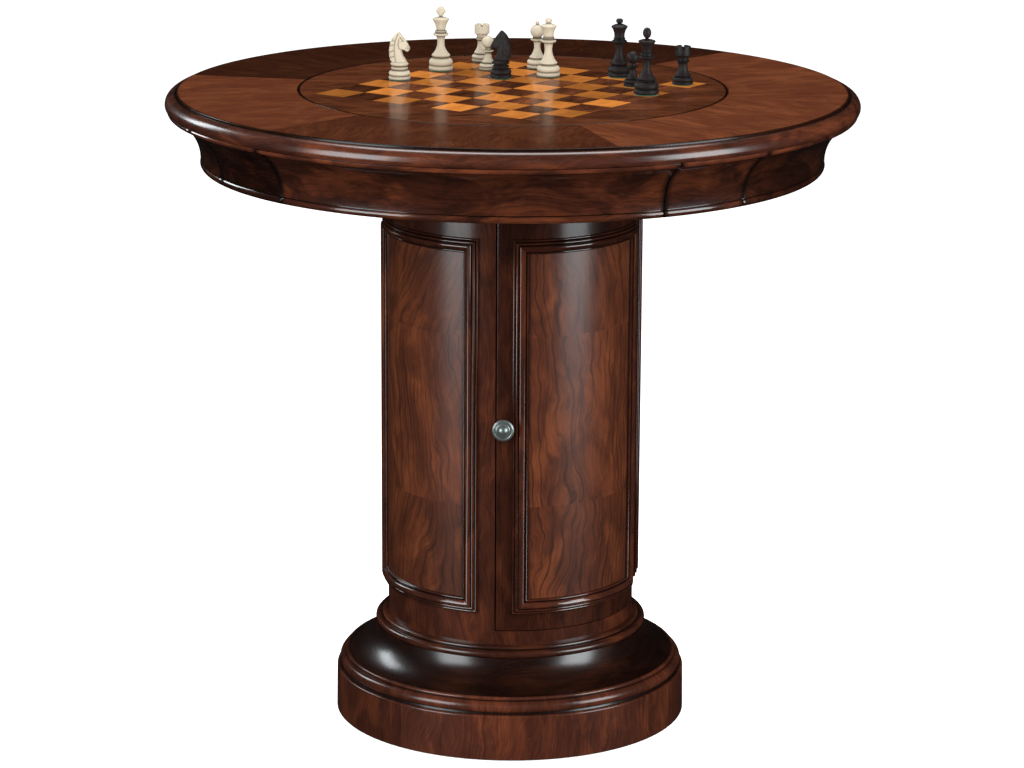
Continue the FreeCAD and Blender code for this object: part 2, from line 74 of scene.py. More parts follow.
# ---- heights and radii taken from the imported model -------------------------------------
TABLE_TOP = high("top_segments").z
RIM_RADIUS = high("rim_moulding").y
TOP_UNDERSIDE = low("top_segments").z
APRON_BOTTOM = low("apron_right_middle").z
DECK_BOTTOM = low("drawer_deck").z
COLUMN_RADIUS = high("column_bottom_rail").y
COLLAR_TOP = high("base_collar").z
SCOTIA_TOP = high("base_scotia").z
SCOTIA_BOTTOM = low("base_scotia").z
SCOTIA_FOOT = high("base_scotia").y
PLINTH_RADIUS = high("plinth").y
PLINTH_FOOT = low("plinth").z
BOTTOM_RAIL_TOP = high("column_bottom_rail").z
TOP_RAIL_BOTTOM = low("column_top_rail").z
DOOR_BOTTOM = low("door_leaf").z
DOOR_TOP = high("door_leaf").z
FRAME_BOTTOM = low("door_panel_frame").z
FRAME_TOP = high("door_panel_frame").z
INSERT_RADIUS = high("board_core").y
INLAY_BOTTOM = high("board_core").z

# ---- construction the boxes do not give ------------------------------------------------
COLUMN_WALL = 16.0
DOOR_START = -7.2
DOOR_END = 82.8
DOOR_GAP = 1.5
PANEL_CENTRES = (37.8, 127.8, 217.8, 307.8)
FRAME_HALF_ANGLE = 37.2
FRAME_WIDTH = 24.0
SHEET_JOINTS = (389.0, 660.0)
APRON_INNER = 430.0
APRON_JOINTS = (26.9, 44.35, 115.5, 135.7)
DRAWER_AZIMUTHS = {"front": -8.7, "rear": 171.3}
DRAWER_HALF_ANGLE = 35.6
# tones of the apron blocks; the darker ones are painted shade: the left front block sits set back beside the
# drawer, and the middle blocks turn away from the lights
APRON_TONES_AND_SHADE = {
    "right": {"front": 0.35, "middle": -0.05, "rear": 0.2},
    "left": {"front": -0.2, "middle": -0.1, "rear": 0.2},
}
DRAWER_TONE = 0.35
# a painted highlight on the apron's top bead, and painted shade in its cove
TOP_BEAD_HIGHLIGHT_TONE = 0.55
COVE_SHADE_TONE = -0.3
DRAWER_GAP = 2.0
DRAWER_PROUD = 1.5
TOP_FIRST_JOINT = 17.0
TOP_SEGMENTS = 6
TOP_INNER = 336.2
TOP_OUTER = 526.4
SQUARE = 55.2
BOARD_NEAR_CORNER = 10.6
KNOB_AZIMUTH = -3.3
KNOB_Z = 517.7
# reach in millimetres of the painted shade that darkens the inner corners of the turned outlines
PAINTED_SHADE_REACH = 1.8
SMALL_FLATS = 64

# profile of the base: shoulder of the plinth and neck of the scotia
PLINTH_SHOULDER = 75.0
SCOTIA_NECK = 216.0

# profile of the apron, from its bottom bead over the cove to its top bead
BEAD_RADIUS = 490.5
BEAD_TOP = 910.0
QUIRK = 1.4
COVE_FOOT = 490.0
COVE_RADIUS = 80.0
TOP_BEAD_RADIUS = 541.0
TOP_BEAD_BOTTOM = 981.5
APRON_GRAIN_RADIUS = 495.0
SEAM_ANGLE = 0.12

# profile of the bullnose rim, and the radius where the painted shade on its inner edge ends
RIM_NECK = 541.6
RIM_FLANK = 992.6
RIM_WIDEST = 996.5
RIM_CREST = 1012.7
RIM_LIP = 528.4
RIM_REBATE = 1008.0
RIM_SHADE_END = 531.5

# tones of the six top segments, and width of the painted shade at the edges of the top and the board
RING_TONES = (0.7, 0.6, -0.5, -0.45, 0.55, 0.0)
RING_INNER_SHADE = 1.3
RING_OUTER_SHADE = 1.8
BORDER_TONE = 0.55
BORDER_INSET = 3.0
BORDER_EDGE = 1.2
BORDER_SHADE = 1.3

# figured panel sheets, from the bottom one up; the left-hand panel has turns of its own
SHEET_THICKNESS = 1.2
SHEET_TONES = (0.38, 0.46, 0.52)
SHEET_TURNS = (0.12, -0.06, -0.2)
LEFT_PANEL = 3
LEFT_SHEET_TURNS = (0.05, -0.1, 0.5)
# width of the painted shade along the sheets' upright edges
SHEET_SHADE_WIDTH = 3.0

# studio camera: metres, millimetres of lens, and degrees below the level and of roll
CAMERA_PLACE = (0.0, -5.578, 1.945)
CAMERA_LENS = 126.3
CAMERA_SHIFT = (0.0006, -0.0079)
CAMERA_TILT = 14.03
CAMERA_ROLL = 0.287

# studio lights: name, azimuth, distance, height, size, watts, aimed height, tint, seen in gloss
WHITE = (1.0, 1.0, 1.0)
COOL = (0.90, 0.97, 1.0)
WARM = (1.0, 0.97, 0.93)
LIGHTS = (
    ("softbox_right", 59.0, 3.7, 1.35, (1.7, 2.6), 150.0, 0.8, COOL, True),
    ("softbox_left", -49.0, 3.7, 1.35, (1.7, 2.6), 130.0, 0.8, COOL, True),
    ("kicker_left", -122.0, 3.6, 2.3, (0.9, 1.4), 42.0, 0.8, COOL, True),
    ("overhead", 180.0, 1.0, 4.0, (2.8, 1.4), 90.0, 1.0, WHITE, True),
    ("key_front", 4.0, 4.6, 2.6, (2.2, 1.8), 190.0, 0.6, WARM, False),
)


# ---- properties ------------------------------------------------------------------------

def colour(name, description, default):
    return bpy.props.FloatVectorProperty(
        name=name, description=description, default=default, size=3, min=0.0, max=1.0, subtype="COLOR")


def length(name, description, default):
    return bpy.props.FloatProperty(
        name=name, description=description, default=default * MM, min=0.0, subtype="DISTANCE", unit="LENGTH")


class TableFinishes(bpy.types.PropertyGroup):
    """Stain and dye colours of the table and its men."""
    cherry_deep: colour("Cherry shadow", "Darkest tone of the cherry stain", (0.0085, 0.0030, 0.0022))
    cherry_body: colour("Cherry body", "Middle tone of the cherry stain", (0.055, 0.0145, 0.0075))
    cherry_light: colour("Cherry light", "Lightest tone of the cherry stain", (0.185, 0.046, 0.016))
    figure_deep: colour("Figure lines", "Darkest tone of the figured veneer", (0.016, 0.0050, 0.0028))
    figure_body: colour("Figured body", "Middle tone of the figured veneer", (0.078, 0.0200, 0.0082))
    figure_light: colour("Figured light", "Lightest tone of the figured veneer", (0.215, 0.0570, 0.0170))
    top_body: colour("Top body", "Middle tone of the ring top", (0.125, 0.035, 0.013))
    top_light: colour("Top light", "Lightest tone of the ring top", (0.250, 0.080, 0.030))
    dark_square: colour("Dark square", "Colour of the dark squares", (0.115, 0.032, 0.011))
    amber: colour("Light square", "Colour of the light squares", (0.490, 0.165, 0.030))
    men_pale: colour("Pale men", "Colour of the pale men", (0.450, 0.395, 0.300))
    men_dark: colour("Dark men", "Colour of the dark men", (0.0100, 0.0066, 0.0064))
    felt: colour("Felt", "Colour of the baize and the pads", (0.012, 0.070, 0.036))
    pewter: colour("Pewter", "Colour of the knob", (0.220, 0.250, 0.240))


class TableSizes(bpy.types.PropertyGroup):
    """Small sizes a maker may change without touching the construction."""
    edge: length("Arris", "Radius of the softened edges of separate pieces", 0.7)
    door_edge: length("Door edge", "Radius of the rounded free edge of the door", 2.4)
    sheet_gap: length("Square gap", "Hairline left between the inlaid squares", 0.12)
    smoothness: bpy.props.IntProperty(
        name="Segments", description="Flats in a full turn of the large rings", default=288, min=48, max=720)


def finishes():
    return bpy.context.scene.table_finishes


def sizes():
    return bpy.context.scene.table_sizes


# ---- outlines --------------------------------------------------------------------------

def arc_through(start, middle, end, steps):
    """Points of the arc from start through middle to end, without the start."""
    (ax, ay), (bx, by), (cx, cy) = start, middle, end
    a2, b2, c2 = ax * ax + ay * ay, bx * bx + by * by, cx * cx + cy * cy
    d = 2.0 * (ax * (by - cy) + bx * (cy - ay) + cx * (ay - by))
    ux = (a2 * (by - cy) + b2 * (cy - ay) + c2 * (ay - by)) / d
    uy = (a2 * (cx - bx) + b2 * (ax - cx) + c2 * (bx - ax)) / d
    radius = math.hypot(ax - ux, ay - uy)
    first = math.atan2(ay - uy, ax - ux)
    turn = math.tau
    via = (math.atan2(by - uy, bx - ux) - first) % turn
    sweep = (math.atan2(cy - uy, cx - ux) - first) % turn
    if via > sweep:
        sweep -= turn
    angles = [first + sweep * (step + 1) / steps for step in range(steps)]
    return [(ux + radius * math.cos(a), uy + radius * math.sin(a)) for a in angles]


def traced(points, steps=8):
    """Outline points; an entry of two pairs is an arc through the first pair to the second."""
    path = [points[0]]
    for entry in points[1:]:
        if isinstance(entry[0], tuple):
            path.extend(arc_through(path[-1], entry[0], entry[1], steps))
        else:
            path.append(entry)
    return path


SHARP_TURN = -0.42


def inner_corners(path, hand=1.0):
    """The points where an outline turns inwards sharply; hand is -1 for a clockwise one."""
    corners = []
    for before, here, after in zip(path, path[1:], path[2:]):
        one = Vector((here[0] - before[0], here[1] - before[1]))
        two = Vector((after[0] - here[0], after[1] - here[1]))
        if min(one.length, two.length) <= 1e-6:
            continue
        if hand * one.normalized().cross(two.normalized()) < SHARP_TURN:
            corners.append(here)
    return corners


def moulded(points, steps=8, hand=1.0):
    """Outline with extra points beside its inner corners; each point is (x, y, painted shade), the shade
    darkening the inner corners.
    """
    path = traced(points, steps)
    corners = inner_corners(path, hand)
    dense = [path[0]]
    for start, end in zip(path, path[1:]):
        run = math.dist(start, end)
        marks = []
        if run > 8.0:
            marks = [m for m in (1.2, 3.5) if start in corners]
            marks += [run - m for m in (3.5, 1.2) if end in corners]
        for mark in marks:
            t = mark / run
            dense.append((start[0] + t * (end[0] - start[0]), start[1] + t * (end[1] - start[1])))
        dense.append(end)
    result = []
    for point in dense:
        # painted shade: the outline darkens near each inner corner, where shade falls
        dark = sum(math.exp(-(math.dist(point, corner) / PAINTED_SHADE_REACH) ** 2) for corner in corners)
        result.append((point[0], point[1], min(1.0, dark)))
    return result


# ---- mesh helpers ----------------------------------------------------------------------

def layer(layers, name):
    """The named layer of a bmesh, made when it is missing."""
    return layers.get(name) or layers.new(name)


def radius_of(co):
    """Distance from the table's axis, in millimetres."""
    return math.hypot(co.x, co.y) / MM


def outline_wire(bm, points, steps, closed):
    """Vertices and edges of a moulded outline in the XZ plane, with their girth and painted shade."""
    girth = layer(bm.verts.layers.float, "girth")
    glaze = layer(bm.verts.layers.float, "glaze")
    verts = []
    run = 0.0
    for x, z, dark in moulded(points, steps):
        vert = bm.verts.new((x * MM, 0.0, z * MM))
        if verts:
            run += (vert.co - verts[-1].co).length
        vert[girth] = run
        vert[glaze] = dark
        verts.append(vert)
    edges = [bm.edges.new(pair) for pair in zip(verts, verts[1:])]
    if closed:
        edges.append(bm.edges.new((verts[-1], verts[0])))
    return verts, edges


def soften(bm, edges, radius, segments=2):
    bmesh.ops.bevel(bm, geom=edges, offset=radius, offset_type="OFFSET", segments=segments, profile=0.5,
                    affect="EDGES", material=-1, clamp_overlap=True)


def end_edges(bm):
    """Edges round the flat end faces left by a partial turn."""
    return list({edge for face in bm.faces if len(face.verts) > 4 for edge in face.edges})


def turned(points, start=0.0, sweep=360.0, closed=True, steps=8, flats=None, end_radius=0.0):
    """A bmesh of an outline turned about the table's axis, from an azimuth."""
    bm = bmesh.new()
    verts, edges = outline_wire(bm, points, steps, closed)
    turn_to = Matrix.Rotation(math.radians(start - 90.0), 3, "Z")
    bmesh.ops.rotate(bm, verts=verts, cent=(0, 0, 0), matrix=turn_to)
    full = sweep > 359.9
    count = max(4, round((flats or sizes().smoothness) * sweep / 360.0))
    bmesh.ops.spin(bm, geom=verts + edges, cent=(0, 0, 0), axis=(0, 0, 1), dvec=(0, 0, 0),
                   angle=math.radians(sweep), steps=count, use_merge=full, use_duplicate=False)
    bmesh.ops.remove_doubles(bm, verts=bm.verts, dist=1e-6)
    if not full:
        bmesh.ops.holes_fill(bm, edges=[e for e in bm.edges if e.is_boundary], sides=0)
    bmesh.ops.recalc_face_normals(bm, faces=bm.faces)
    if end_radius and not full:
        soften(bm, end_edges(bm), end_radius)
    return bm


def azimuth_of(co, near=None):
    angle = math.atan2(co.x, -co.y)
    if near is not None:
        angle += math.tau * round((near - angle) / math.tau)
    return angle


def lay_grain(bm, radius, upright=False, shift=(0.0, 0.0)):
    """Writes the UV map: U along the grain, V across it, in metres."""
    uv = layer(bm.loops.layers.uv, "grain")
    girth = bm.verts.layers.float.get("girth")
    for face in bm.faces:
        near = azimuth_of(face.calc_center_median())
        for loop in face.loops:
            arc = azimuth_of(loop.vert.co, near) * radius * MM
            if upright:
                loop[uv].uv = (loop.vert.co.z + shift[0], arc + shift[1])
            else:
                loop[uv].uv = (arc + shift[0], loop.vert[girth] + shift[1])


def set_grain(bm, rule):
    """Writes the UV map by a rule of each point's place."""
    uv = layer(bm.loops.layers.uv, "grain")
    for face in bm.faces:
        for loop in face.loops:
            loop[uv].uv = rule(loop.vert.co)


def set_glaze(bm, rule):
    """Writes the painted shade of creases and gaps, 0 to 1, by a rule of each point's place and its painted
    shade so far.
    """
    glaze = layer(bm.verts.layers.float, "glaze")
    for vert in bm.verts:
        vert[glaze] = rule(vert.co, vert[glaze])


def set_tone(bm, rule):
    """Writes one tone on each face, by a rule of its middle; 0 is deep, 1 is pale, and both may be passed."""
    tone = layer(bm.faces.layers.float, "tone")
    for face in bm.faces:
        face[tone] = rule(face.calc_center_median())


def shade_of(*key):
    """A repeatable tone from 0 to 1 for a named board."""
    return random.Random("-".join(str(part) for part in key)).random()


def gather(parts):
    """Joins several bmeshes into one."""
    whole = bmesh.new()
    for part in parts:
        mesh = bpy.data.meshes.new("part")
        part.to_mesh(mesh)
        part.free()
        whole.from_mesh(mesh)
        bpy.data.meshes.remove(mesh)
    return whole


def add_piece(name, bm, materials, body, nodes=(), crease=32.0):
    """Turns a bmesh into a finished piece that rides on a body and stands for its nodes."""
    mesh = bpy.data.meshes.new(name)
    bm.to_mesh(mesh)
    bm.free()
    mesh.shade_smooth()
    mesh.set_sharp_from_angle(angle=math.radians(crease))
    for material in materials:
        mesh.materials.append(material)
    piece = bpy.data.objects.new(name, mesh)
    bpy.context.scene.collection.objects.link(piece)
    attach(piece, body)
    if nodes:
        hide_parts(*nodes)
    return piece


# ---- shader helpers --------------------------------------------------------------------

def feed(tree, node, inputs):
    """Sets inputs of a node; an input is a value or another node's socket."""
    for key, value in inputs.items():
        if isinstance(value, bpy.types.NodeSocket):
            tree.links.new(value, node.inputs[key])
        else:
            node.inputs[key].default_value = value
    return node


def add_node(tree, kind, inputs=None, **settings):
    """A new node with its settings and inputs."""
    node = tree.nodes.new(kind)
    for key, value in settings.items():
        setattr(node, key, value)
    return feed(tree, node, inputs or {})


def maths(tree, operation, *values):
    return add_node(tree, "ShaderNodeMath", dict(enumerate(values)), operation=operation).outputs[0]


def vectors(tree, operation, *values):
    return add_node(tree, "ShaderNodeVectorMath", dict(enumerate(values)), operation=operation).outputs[0]


def mixed(tree, factor, one, two):
    """Colour mix of two; 0, 6 and 7 are the sockets that a colour mix uses."""
    return add_node(tree, "ShaderNodeMix", {0: factor, 6: one, 7: two}, data_type="RGBA").outputs[2]


def attribute(tree, name):
    return add_node(tree, "ShaderNodeAttribute", attribute_name=name).outputs["Fac"]


def ramp(tree, factor, *stops):
    """Grey ramp: stops are (position, grey)."""
    node = add_node(tree, "ShaderNodeValToRGB", {"Fac": factor})
    elements = node.color_ramp.elements
    while len(elements) < len(stops):
        elements.new(0.5)
    for element, (position, grey) in zip(elements, stops):
        element.position = position
        element.color = (grey, grey, grey, 1.0)
    return node.outputs["Color"]


def noise(tree, vector, scale, place, detail, roughness=0.55, distortion=0.0):
    """Noise on a vector stretched by a scale and moved to a place."""
    spread = add_node(tree, "ShaderNodeMapping", {"Vector": vector, "Scale": scale, "Location": place})
    return add_node(tree, "ShaderNodeTexNoise", {
        "Vector": spread.outputs[0], "Scale": 1.0, "Detail": detail, "Roughness": roughness,
        "Distortion": distortion})


def noise_value(tree, *settings):
    return noise(tree, *settings).outputs["Fac"]


def new_group(name, inputs, outputs):
    """An empty shader group; inputs and outputs map a name to its socket type."""
    group = bpy.data.node_groups.new(name, "ShaderNodeTree")
    for label, kind in inputs.items():
        group.interface.new_socket(label, in_out="INPUT", socket_type=kind)
    for label, kind in outputs.items():
        group.interface.new_socket(label, in_out="OUTPUT", socket_type=kind)
    return group, group.nodes.new("NodeGroupInput"), group.nodes.new("NodeGroupOutput")


ORIGIN = (0.0, 0.0, 0.0)
# near black colour of the painted shade in grooves, inner corners and gaps
PAINTED_SHADE_BLACK = (0.0015, 0.0008, 0.0006, 1.0)


def wood_grain_group():
    """Fibre, growth lines, mottle and pores of stained cherry, along the vector's X, with near black painted
    shade in creases and gaps.
    """
    name = "wood_grain"
    if name in bpy.data.node_groups:
        return bpy.data.node_groups[name]
    vector, number, shade = "NodeSocketVector", "NodeSocketFloat", "NodeSocketColor"
    group, source, target = new_group(
        name,
        {"Grain": vector, "Deep": shade, "Body": shade, "Light": shade, "Tone": number, "Painted Shade": number,
         "Figure": number, "Mottle": number, "Fibre": number},
        {"Color": shade, "Roughness": number, "Height": number})
    grain = source.outputs["Grain"]

    def wobble(scale, reach):
        """A smooth shift across the grain."""
        cloud = noise(group, grain, scale, ORIGIN, 2.0).outputs["Color"]
        centred = vectors(group, "SUBTRACT", cloud, (0.5, 0.5, 0.5))
        return vectors(group, "MULTIPLY", centred, (0.0, reach, 0.0))

    bowed = vectors(group, "ADD", grain, wobble((3.0, 6.0, 1.0), 0.13))
    bent = vectors(group, "ADD", bowed, wobble((13.0, 19.0, 1.0), 0.035))

    fibre = noise_value(group, bent, (9.0, 330.0, 1.0), ORIGIN, 5.0, 0.65)
    pores = noise_value(group, bent, (70.0, 1500.0, 1.0), (3.1, 1.7, 0.0), 2.0, 0.5)
    cloud = noise_value(group, grain, (14.0, 32.0, 1.0), (7.7, 2.9, 0.0), 5.0, 0.62, 0.8)
    patch = noise_value(group, grain, (9.0, 17.0, 1.0), (1.3, 9.1, 0.0), 4.0, 0.6, 0.8)
    drift = noise_value(group, grain, (5.0, 16.0, 1.0), (4.2, 6.4, 0.0), 3.0)
    bands = add_node(group, "ShaderNodeMapping", {"Vector": bent, "Scale": (2.6, 22.0, 1.0)})
    wave = add_node(
        group, "ShaderNodeTexWave",
        {"Vector": bands.outputs[0], "Scale": 1.0, "Distortion": 11.0, "Detail": 3.0,
         "Detail Scale": 0.55, "Detail Roughness": 0.6},
        wave_type="BANDS", bands_direction="Y", wave_profile="SAW").outputs["Fac"]
    line = ramp(group, wave, (0.0, 0.5), (0.08, 0.0), (0.74, 0.0), (0.94, 1.0), (1.0, 0.4))
    fade = ramp(group, drift, (0.36, 0.15), (0.60, 1.0))

    deep, light = source.outputs["Deep"], source.outputs["Light"]
    mottle, fibres, glaze = source.outputs["Mottle"], source.outputs["Fibre"], source.outputs["Painted Shade"]
    spread = ramp(group, cloud, (0.34, 0.0), (0.66, 1.0))
    base = mixed(group, spread, deep, source.outputs["Body"])
    base = mixed(group, mottle, source.outputs["Body"], base)
    glow = maths(group, "MULTIPLY", ramp(group, patch, (0.46, 0.0), (0.72, 1.0)), mottle)
    warm = mixed(group, glow, base, light)
    fibre_dark = maths(group, "MULTIPLY", ramp(group, fibre, (0.36, 1.0), (0.62, 0.0)), fibres)
    fibred = mixed(group, fibre_dark, warm, deep)
    line_dark = maths(group, "MULTIPLY", maths(group, "MULTIPLY", line, fade), source.outputs["Figure"])
    lined = mixed(group, line_dark, fibred, deep)
    pore_dark = maths(group, "MULTIPLY", ramp(group, pores, (0.30, 0.6), (0.42, 0.0)), fibres)
    pored = mixed(group, pore_dark, lined, deep)
    lift = maths(group, "MULTIPLY_ADD", source.outputs["Tone"], 0.7, 0.6)
    toned = add_node(group, "ShaderNodeVectorMath", {0: pored, "Scale": lift}, operation="SCALE").outputs[0]
    # painted shade: the shade input blends the wood towards near black in grooves, inner corners and gaps
    final = mixed(group, maths(group, "MULTIPLY", glaze, 0.9), toned, PAINTED_SHADE_BLACK)
    rough = maths(group, "MULTIPLY_ADD", fibre, 0.16, 0.26)
    relief = maths(group, "MULTIPLY_ADD", line_dark, -0.5, fibre)
    feed(group, target, {
        "Color": final,
        "Roughness": maths(group, "MULTIPLY_ADD", glaze, 0.15, rough),
        "Height": maths(group, "SUBTRACT", relief, pore_dark),
    })
    return group


def new_material(name):
    material = bpy.data.materials.new(name)
    material.use_nodes = True
    tree = material.node_tree
    shader = tree.nodes["Principled BSDF"]
    return material, tree, shader


def bump(tree, shader, height, strength, distance):
    node = add_node(tree, "ShaderNodeBump", {"Height": height, "Strength": strength, "Distance": distance})
    tree.links.new(node.outputs[0], shader.inputs["Normal"])


def rgba(values):
    return (values[0], values[1], values[2], 1.0)


def wood(name, deep, body, light, figure=0.35, mottle=0.7, fibre=0.5, coat=0.7, coat_roughness=0.13,
         mapped=True, specular=0.04):
    """Stained and lacquered wood: mapped wood follows the UV map, plain wood runs along object X."""
    if name in bpy.data.materials:
        return bpy.data.materials[name]
    material, tree, shader = new_material(name)
    if mapped:
        vector = add_node(tree, "ShaderNodeUVMap", uv_map="grain").outputs[0]
        tone, glaze = attribute(tree, "tone"), attribute(tree, "glaze")
    else:
        vector = add_node(tree, "ShaderNodeTexCoord").outputs["Object"]
        tone, glaze = 0.5, 0.0
    group = add_node(
        tree, "ShaderNodeGroup",
        {"Grain": vector, "Deep": rgba(deep), "Body": rgba(body), "Light": rgba(light), "Tone": tone,
         "Painted Shade": glaze, "Figure": figure, "Mottle": mottle, "Fibre": fibre},
        node_tree=wood_grain_group())
    feed(tree, shader, {
        "Base Color": group.outputs["Color"], "Roughness": group.outputs["Roughness"], "Coat Weight": coat,
        "Coat Roughness": coat_roughness, "Specular IOR Level": specular})
    bump(tree, shader, group.outputs["Height"], 0.12, 0.0004)
    return material


def cherry(name, **settings):
    """Cherry in the three plain tones of the stain."""
    f = finishes()
    return wood(name, f.cherry_deep, f.cherry_body, f.cherry_light, **settings)


def dark_cherry():
    return cherry("turned_cherry", figure=0.25, mottle=0.7, coat=0.9, coat_roughness=0.12)


def base_cherry():
    return cherry("base_cherry", figure=0.2, mottle=0.6, coat=0.9, coat_roughness=0.22)


def upright_cherry():
    return cherry("upright_cherry", figure=0.3, mottle=0.45, coat=0.7, coat_roughness=0.2)


def frame_cherry():
    return cherry("moulding_cherry", figure=0.1, mottle=0.45, coat=1.0, coat_roughness=0.1)


def figured_cherry():
    f = finishes()
    return wood("figure_cherry", f.figure_deep, f.figure_body, f.figure_light,
                figure=0.85, mottle=0.5, fibre=0.5, coat=0.9, coat_roughness=0.27)


def top_cherry():
    f = finishes()
    return wood("top_cherry", f.cherry_body, f.top_body, f.top_light,
                figure=0.35, mottle=0.55, fibre=0.75, coat=0.4, coat_roughness=0.2, specular=0.0)


def veneer(name, deep, body, light, **settings):
    """Wood of the lift-out board, with one lacquer on all of it."""
    return wood(name, deep, body, light, coat=0.5, coat_roughness=0.16, specular=0.0, **settings)


def border_cherry():
    f = finishes()
    return veneer("border_cherry", f.figure_deep, f.top_body, f.top_light, figure=0.35, mottle=0.6, fibre=0.7)


def light_veneer():
    f = finishes()
    deep = tuple(0.40 * c for c in f.amber)
    pale = tuple(min(1.0, 1.35 * c) for c in f.amber)
    return veneer("light_veneer", deep, f.amber, pale, figure=0.18, mottle=0.5, fibre=0.4)


def dark_veneer():
    f = finishes()
    return veneer("dark_veneer", f.figure_deep, f.dark_square, f.top_light, figure=0.5, mottle=0.8, fibre=0.7)


def inside_wood():
    return wood("inside_wood", (0.09, 0.035, 0.016), (0.24, 0.11, 0.05), (0.34, 0.17, 0.08),
                figure=0.3, mottle=0.5, coat=0.15, coat_roughness=0.4, mapped=False)


def plain_finish(name, base, roughness, metallic=0.0, grain=900.0, depth=0.05, spread=0.12, crease_shade=None):
    """A near-even finish with a fine noise in its colour, roughness and surface; a crease shade colour paints
    shade into its creases.
    """
    if name in bpy.data.materials:
        return bpy.data.materials[name]
    material, tree, shader = new_material(name)
    place = add_node(tree, "ShaderNodeTexCoord").outputs["Object"]
    fine = noise_value(tree, place, (grain, grain, grain), ORIGIN, 3.0)
    broad = noise_value(tree, place, (60.0, 60.0, 60.0), ORIGIN, 3.0)
    darker = rgba([c * (1.0 - 2.0 * spread) for c in base])
    paler = rgba([min(1.0, c * (1.0 + 2.0 * spread)) for c in base])
    blotch = mixed(tree, broad, darker, paler)
    # painted shade: the creases are blended towards the crease shade colour
    if crease_shade:
        blotch = mixed(tree, maths(tree, "MULTIPLY", attribute(tree, "glaze"), 0.9), blotch, rgba(crease_shade))
    feed(tree, shader, {
        "Base Color": blotch, "Roughness": maths(tree, "MULTIPLY_ADD", fine, 0.14, roughness - 0.07),
        "Specular IOR Level": 0.25 if crease_shade else 0.5, "Metallic": metallic})
    bump(tree, shader, fine, depth, 0.0003)
    return material


def felt():
    material = plain_finish("felt", finishes().felt, 0.95, grain=1600.0, depth=0.5, spread=0.2)
    shader = material.node_tree.nodes["Principled BSDF"]
    feed(material.node_tree, shader, {"Sheen Weight": 0.35, "Sheen Roughness": 0.5})
    return material


def pewter():
    return plain_finish("pewter", finishes().pewter, 0.36,
                        metallic=0.85, grain=500.0, depth=0.04, spread=0.18)


def pale_wood():
    # the brown crease colour is painted shade in the men's recesses
    return plain_finish("pale_wood", finishes().men_pale, 0.5, grain=700.0, depth=0.1, spread=0.06,
                        crease_shade=(0.09, 0.062, 0.038))


def ebony_wood():
    # the near black crease colour is painted shade in the men's recesses
    return plain_finish("ebony_wood", finishes().men_dark, 0.55, grain=700.0, depth=0.2, spread=0.3,
                        crease_shade=(0.002, 0.002, 0.002))


# ---- base ------------------------------------------------------------------------------

def plinth_outline():
    top = PLINTH_SHOULDER
    return [
        (0.0, PLINTH_FOOT), (PLINTH_RADIUS - 1.0, PLINTH_FOOT), (PLINTH_RADIUS, PLINTH_FOOT + 1.0),
        (PLINTH_RADIUS - 1.0, top - 3.0),
        ((PLINTH_RADIUS - 1.9, top - 0.9), (PLINTH_RADIUS - 4.0, top)),
        (PLINTH_RADIUS - 7.5, top), (PLINTH_RADIUS - 9.0, top + 2.5),
        ((PLINTH_RADIUS - 5.6, top + 10.0), (PLINTH_RADIUS - 13.5, top + 19.5)),
        (PLINTH_RADIUS - 15.5, top + 20.0),
        ((PLINTH_RADIUS - 14.6, top + 23.2), (SCOTIA_FOOT, SCOTIA_BOTTOM)),
        (0.0, SCOTIA_BOTTOM),
    ]


def scotia_outline():
    return [
        (0.0, SCOTIA_BOTTOM), (SCOTIA_FOOT, SCOTIA_BOTTOM),
        ((SCOTIA_FOOT - 28.1, SCOTIA_BOTTOM + 18.1), (SCOTIA_NECK, SCOTIA_TOP)),
        (0.0, SCOTIA_TOP),
    ]


def collar_outline():
    radius = high("base_collar").y
    return [
        (0.0, SCOTIA_TOP), (radius - 3.4, SCOTIA_TOP),
        ((radius, SCOTIA_TOP + 5.2), (radius - 6.0, SCOTIA_TOP + 11.2)),
        (radius - 10.8, SCOTIA_TOP + 11.2),
        ((radius - 10.6, SCOTIA_TOP + 14.6), (radius - 14.2, COLLAR_TOP)),
        (0.0, COLLAR_TOP),
    ]


class TABLE_OT_base(bpy.types.Operator):
    """Turn the plinth, the scotia and the collar"""
    bl_idname = "gaming_table.base"
    bl_label = "Base"

    def execute(self, context):
        plinth = turned(plinth_outline(), closed=False, steps=10)
        lay_grain(plinth, PLINTH_RADIUS, upright=True)
        set_tone(plinth, lambda co: shade_of("plinth", int(math.degrees(azimuth_of(co)) // 38.0)))
        add_piece("plinth_turning", plinth, [upright_cherry()], "table", ["plinth"])
        # the scotia's low tone is painted shade under the table top
        for node, outline, tone in (("base_scotia", scotia_outline(), -0.6),
                                    ("base_collar", collar_outline(), 0.1)):
            ring = turned(outline, closed=False, steps=18)
            lay_grain(ring, COLUMN_RADIUS)
            set_tone(ring, lambda co: tone)
            add_piece(node + "_turning", ring, [base_cherry()], "table", [node])
        return {"FINISHED"}


# ---- column ----------------------------------------------------------------------------

def wall(start, sweep, bottom, top):
    """Part of the column's wall, between two azimuths and two heights."""
    bore = COLUMN_RADIUS - COLUMN_WALL
    return turned([(bore, bottom), (COLUMN_RADIUS, bottom), (COLUMN_RADIUS, top), (bore, top)],
                  start, sweep)


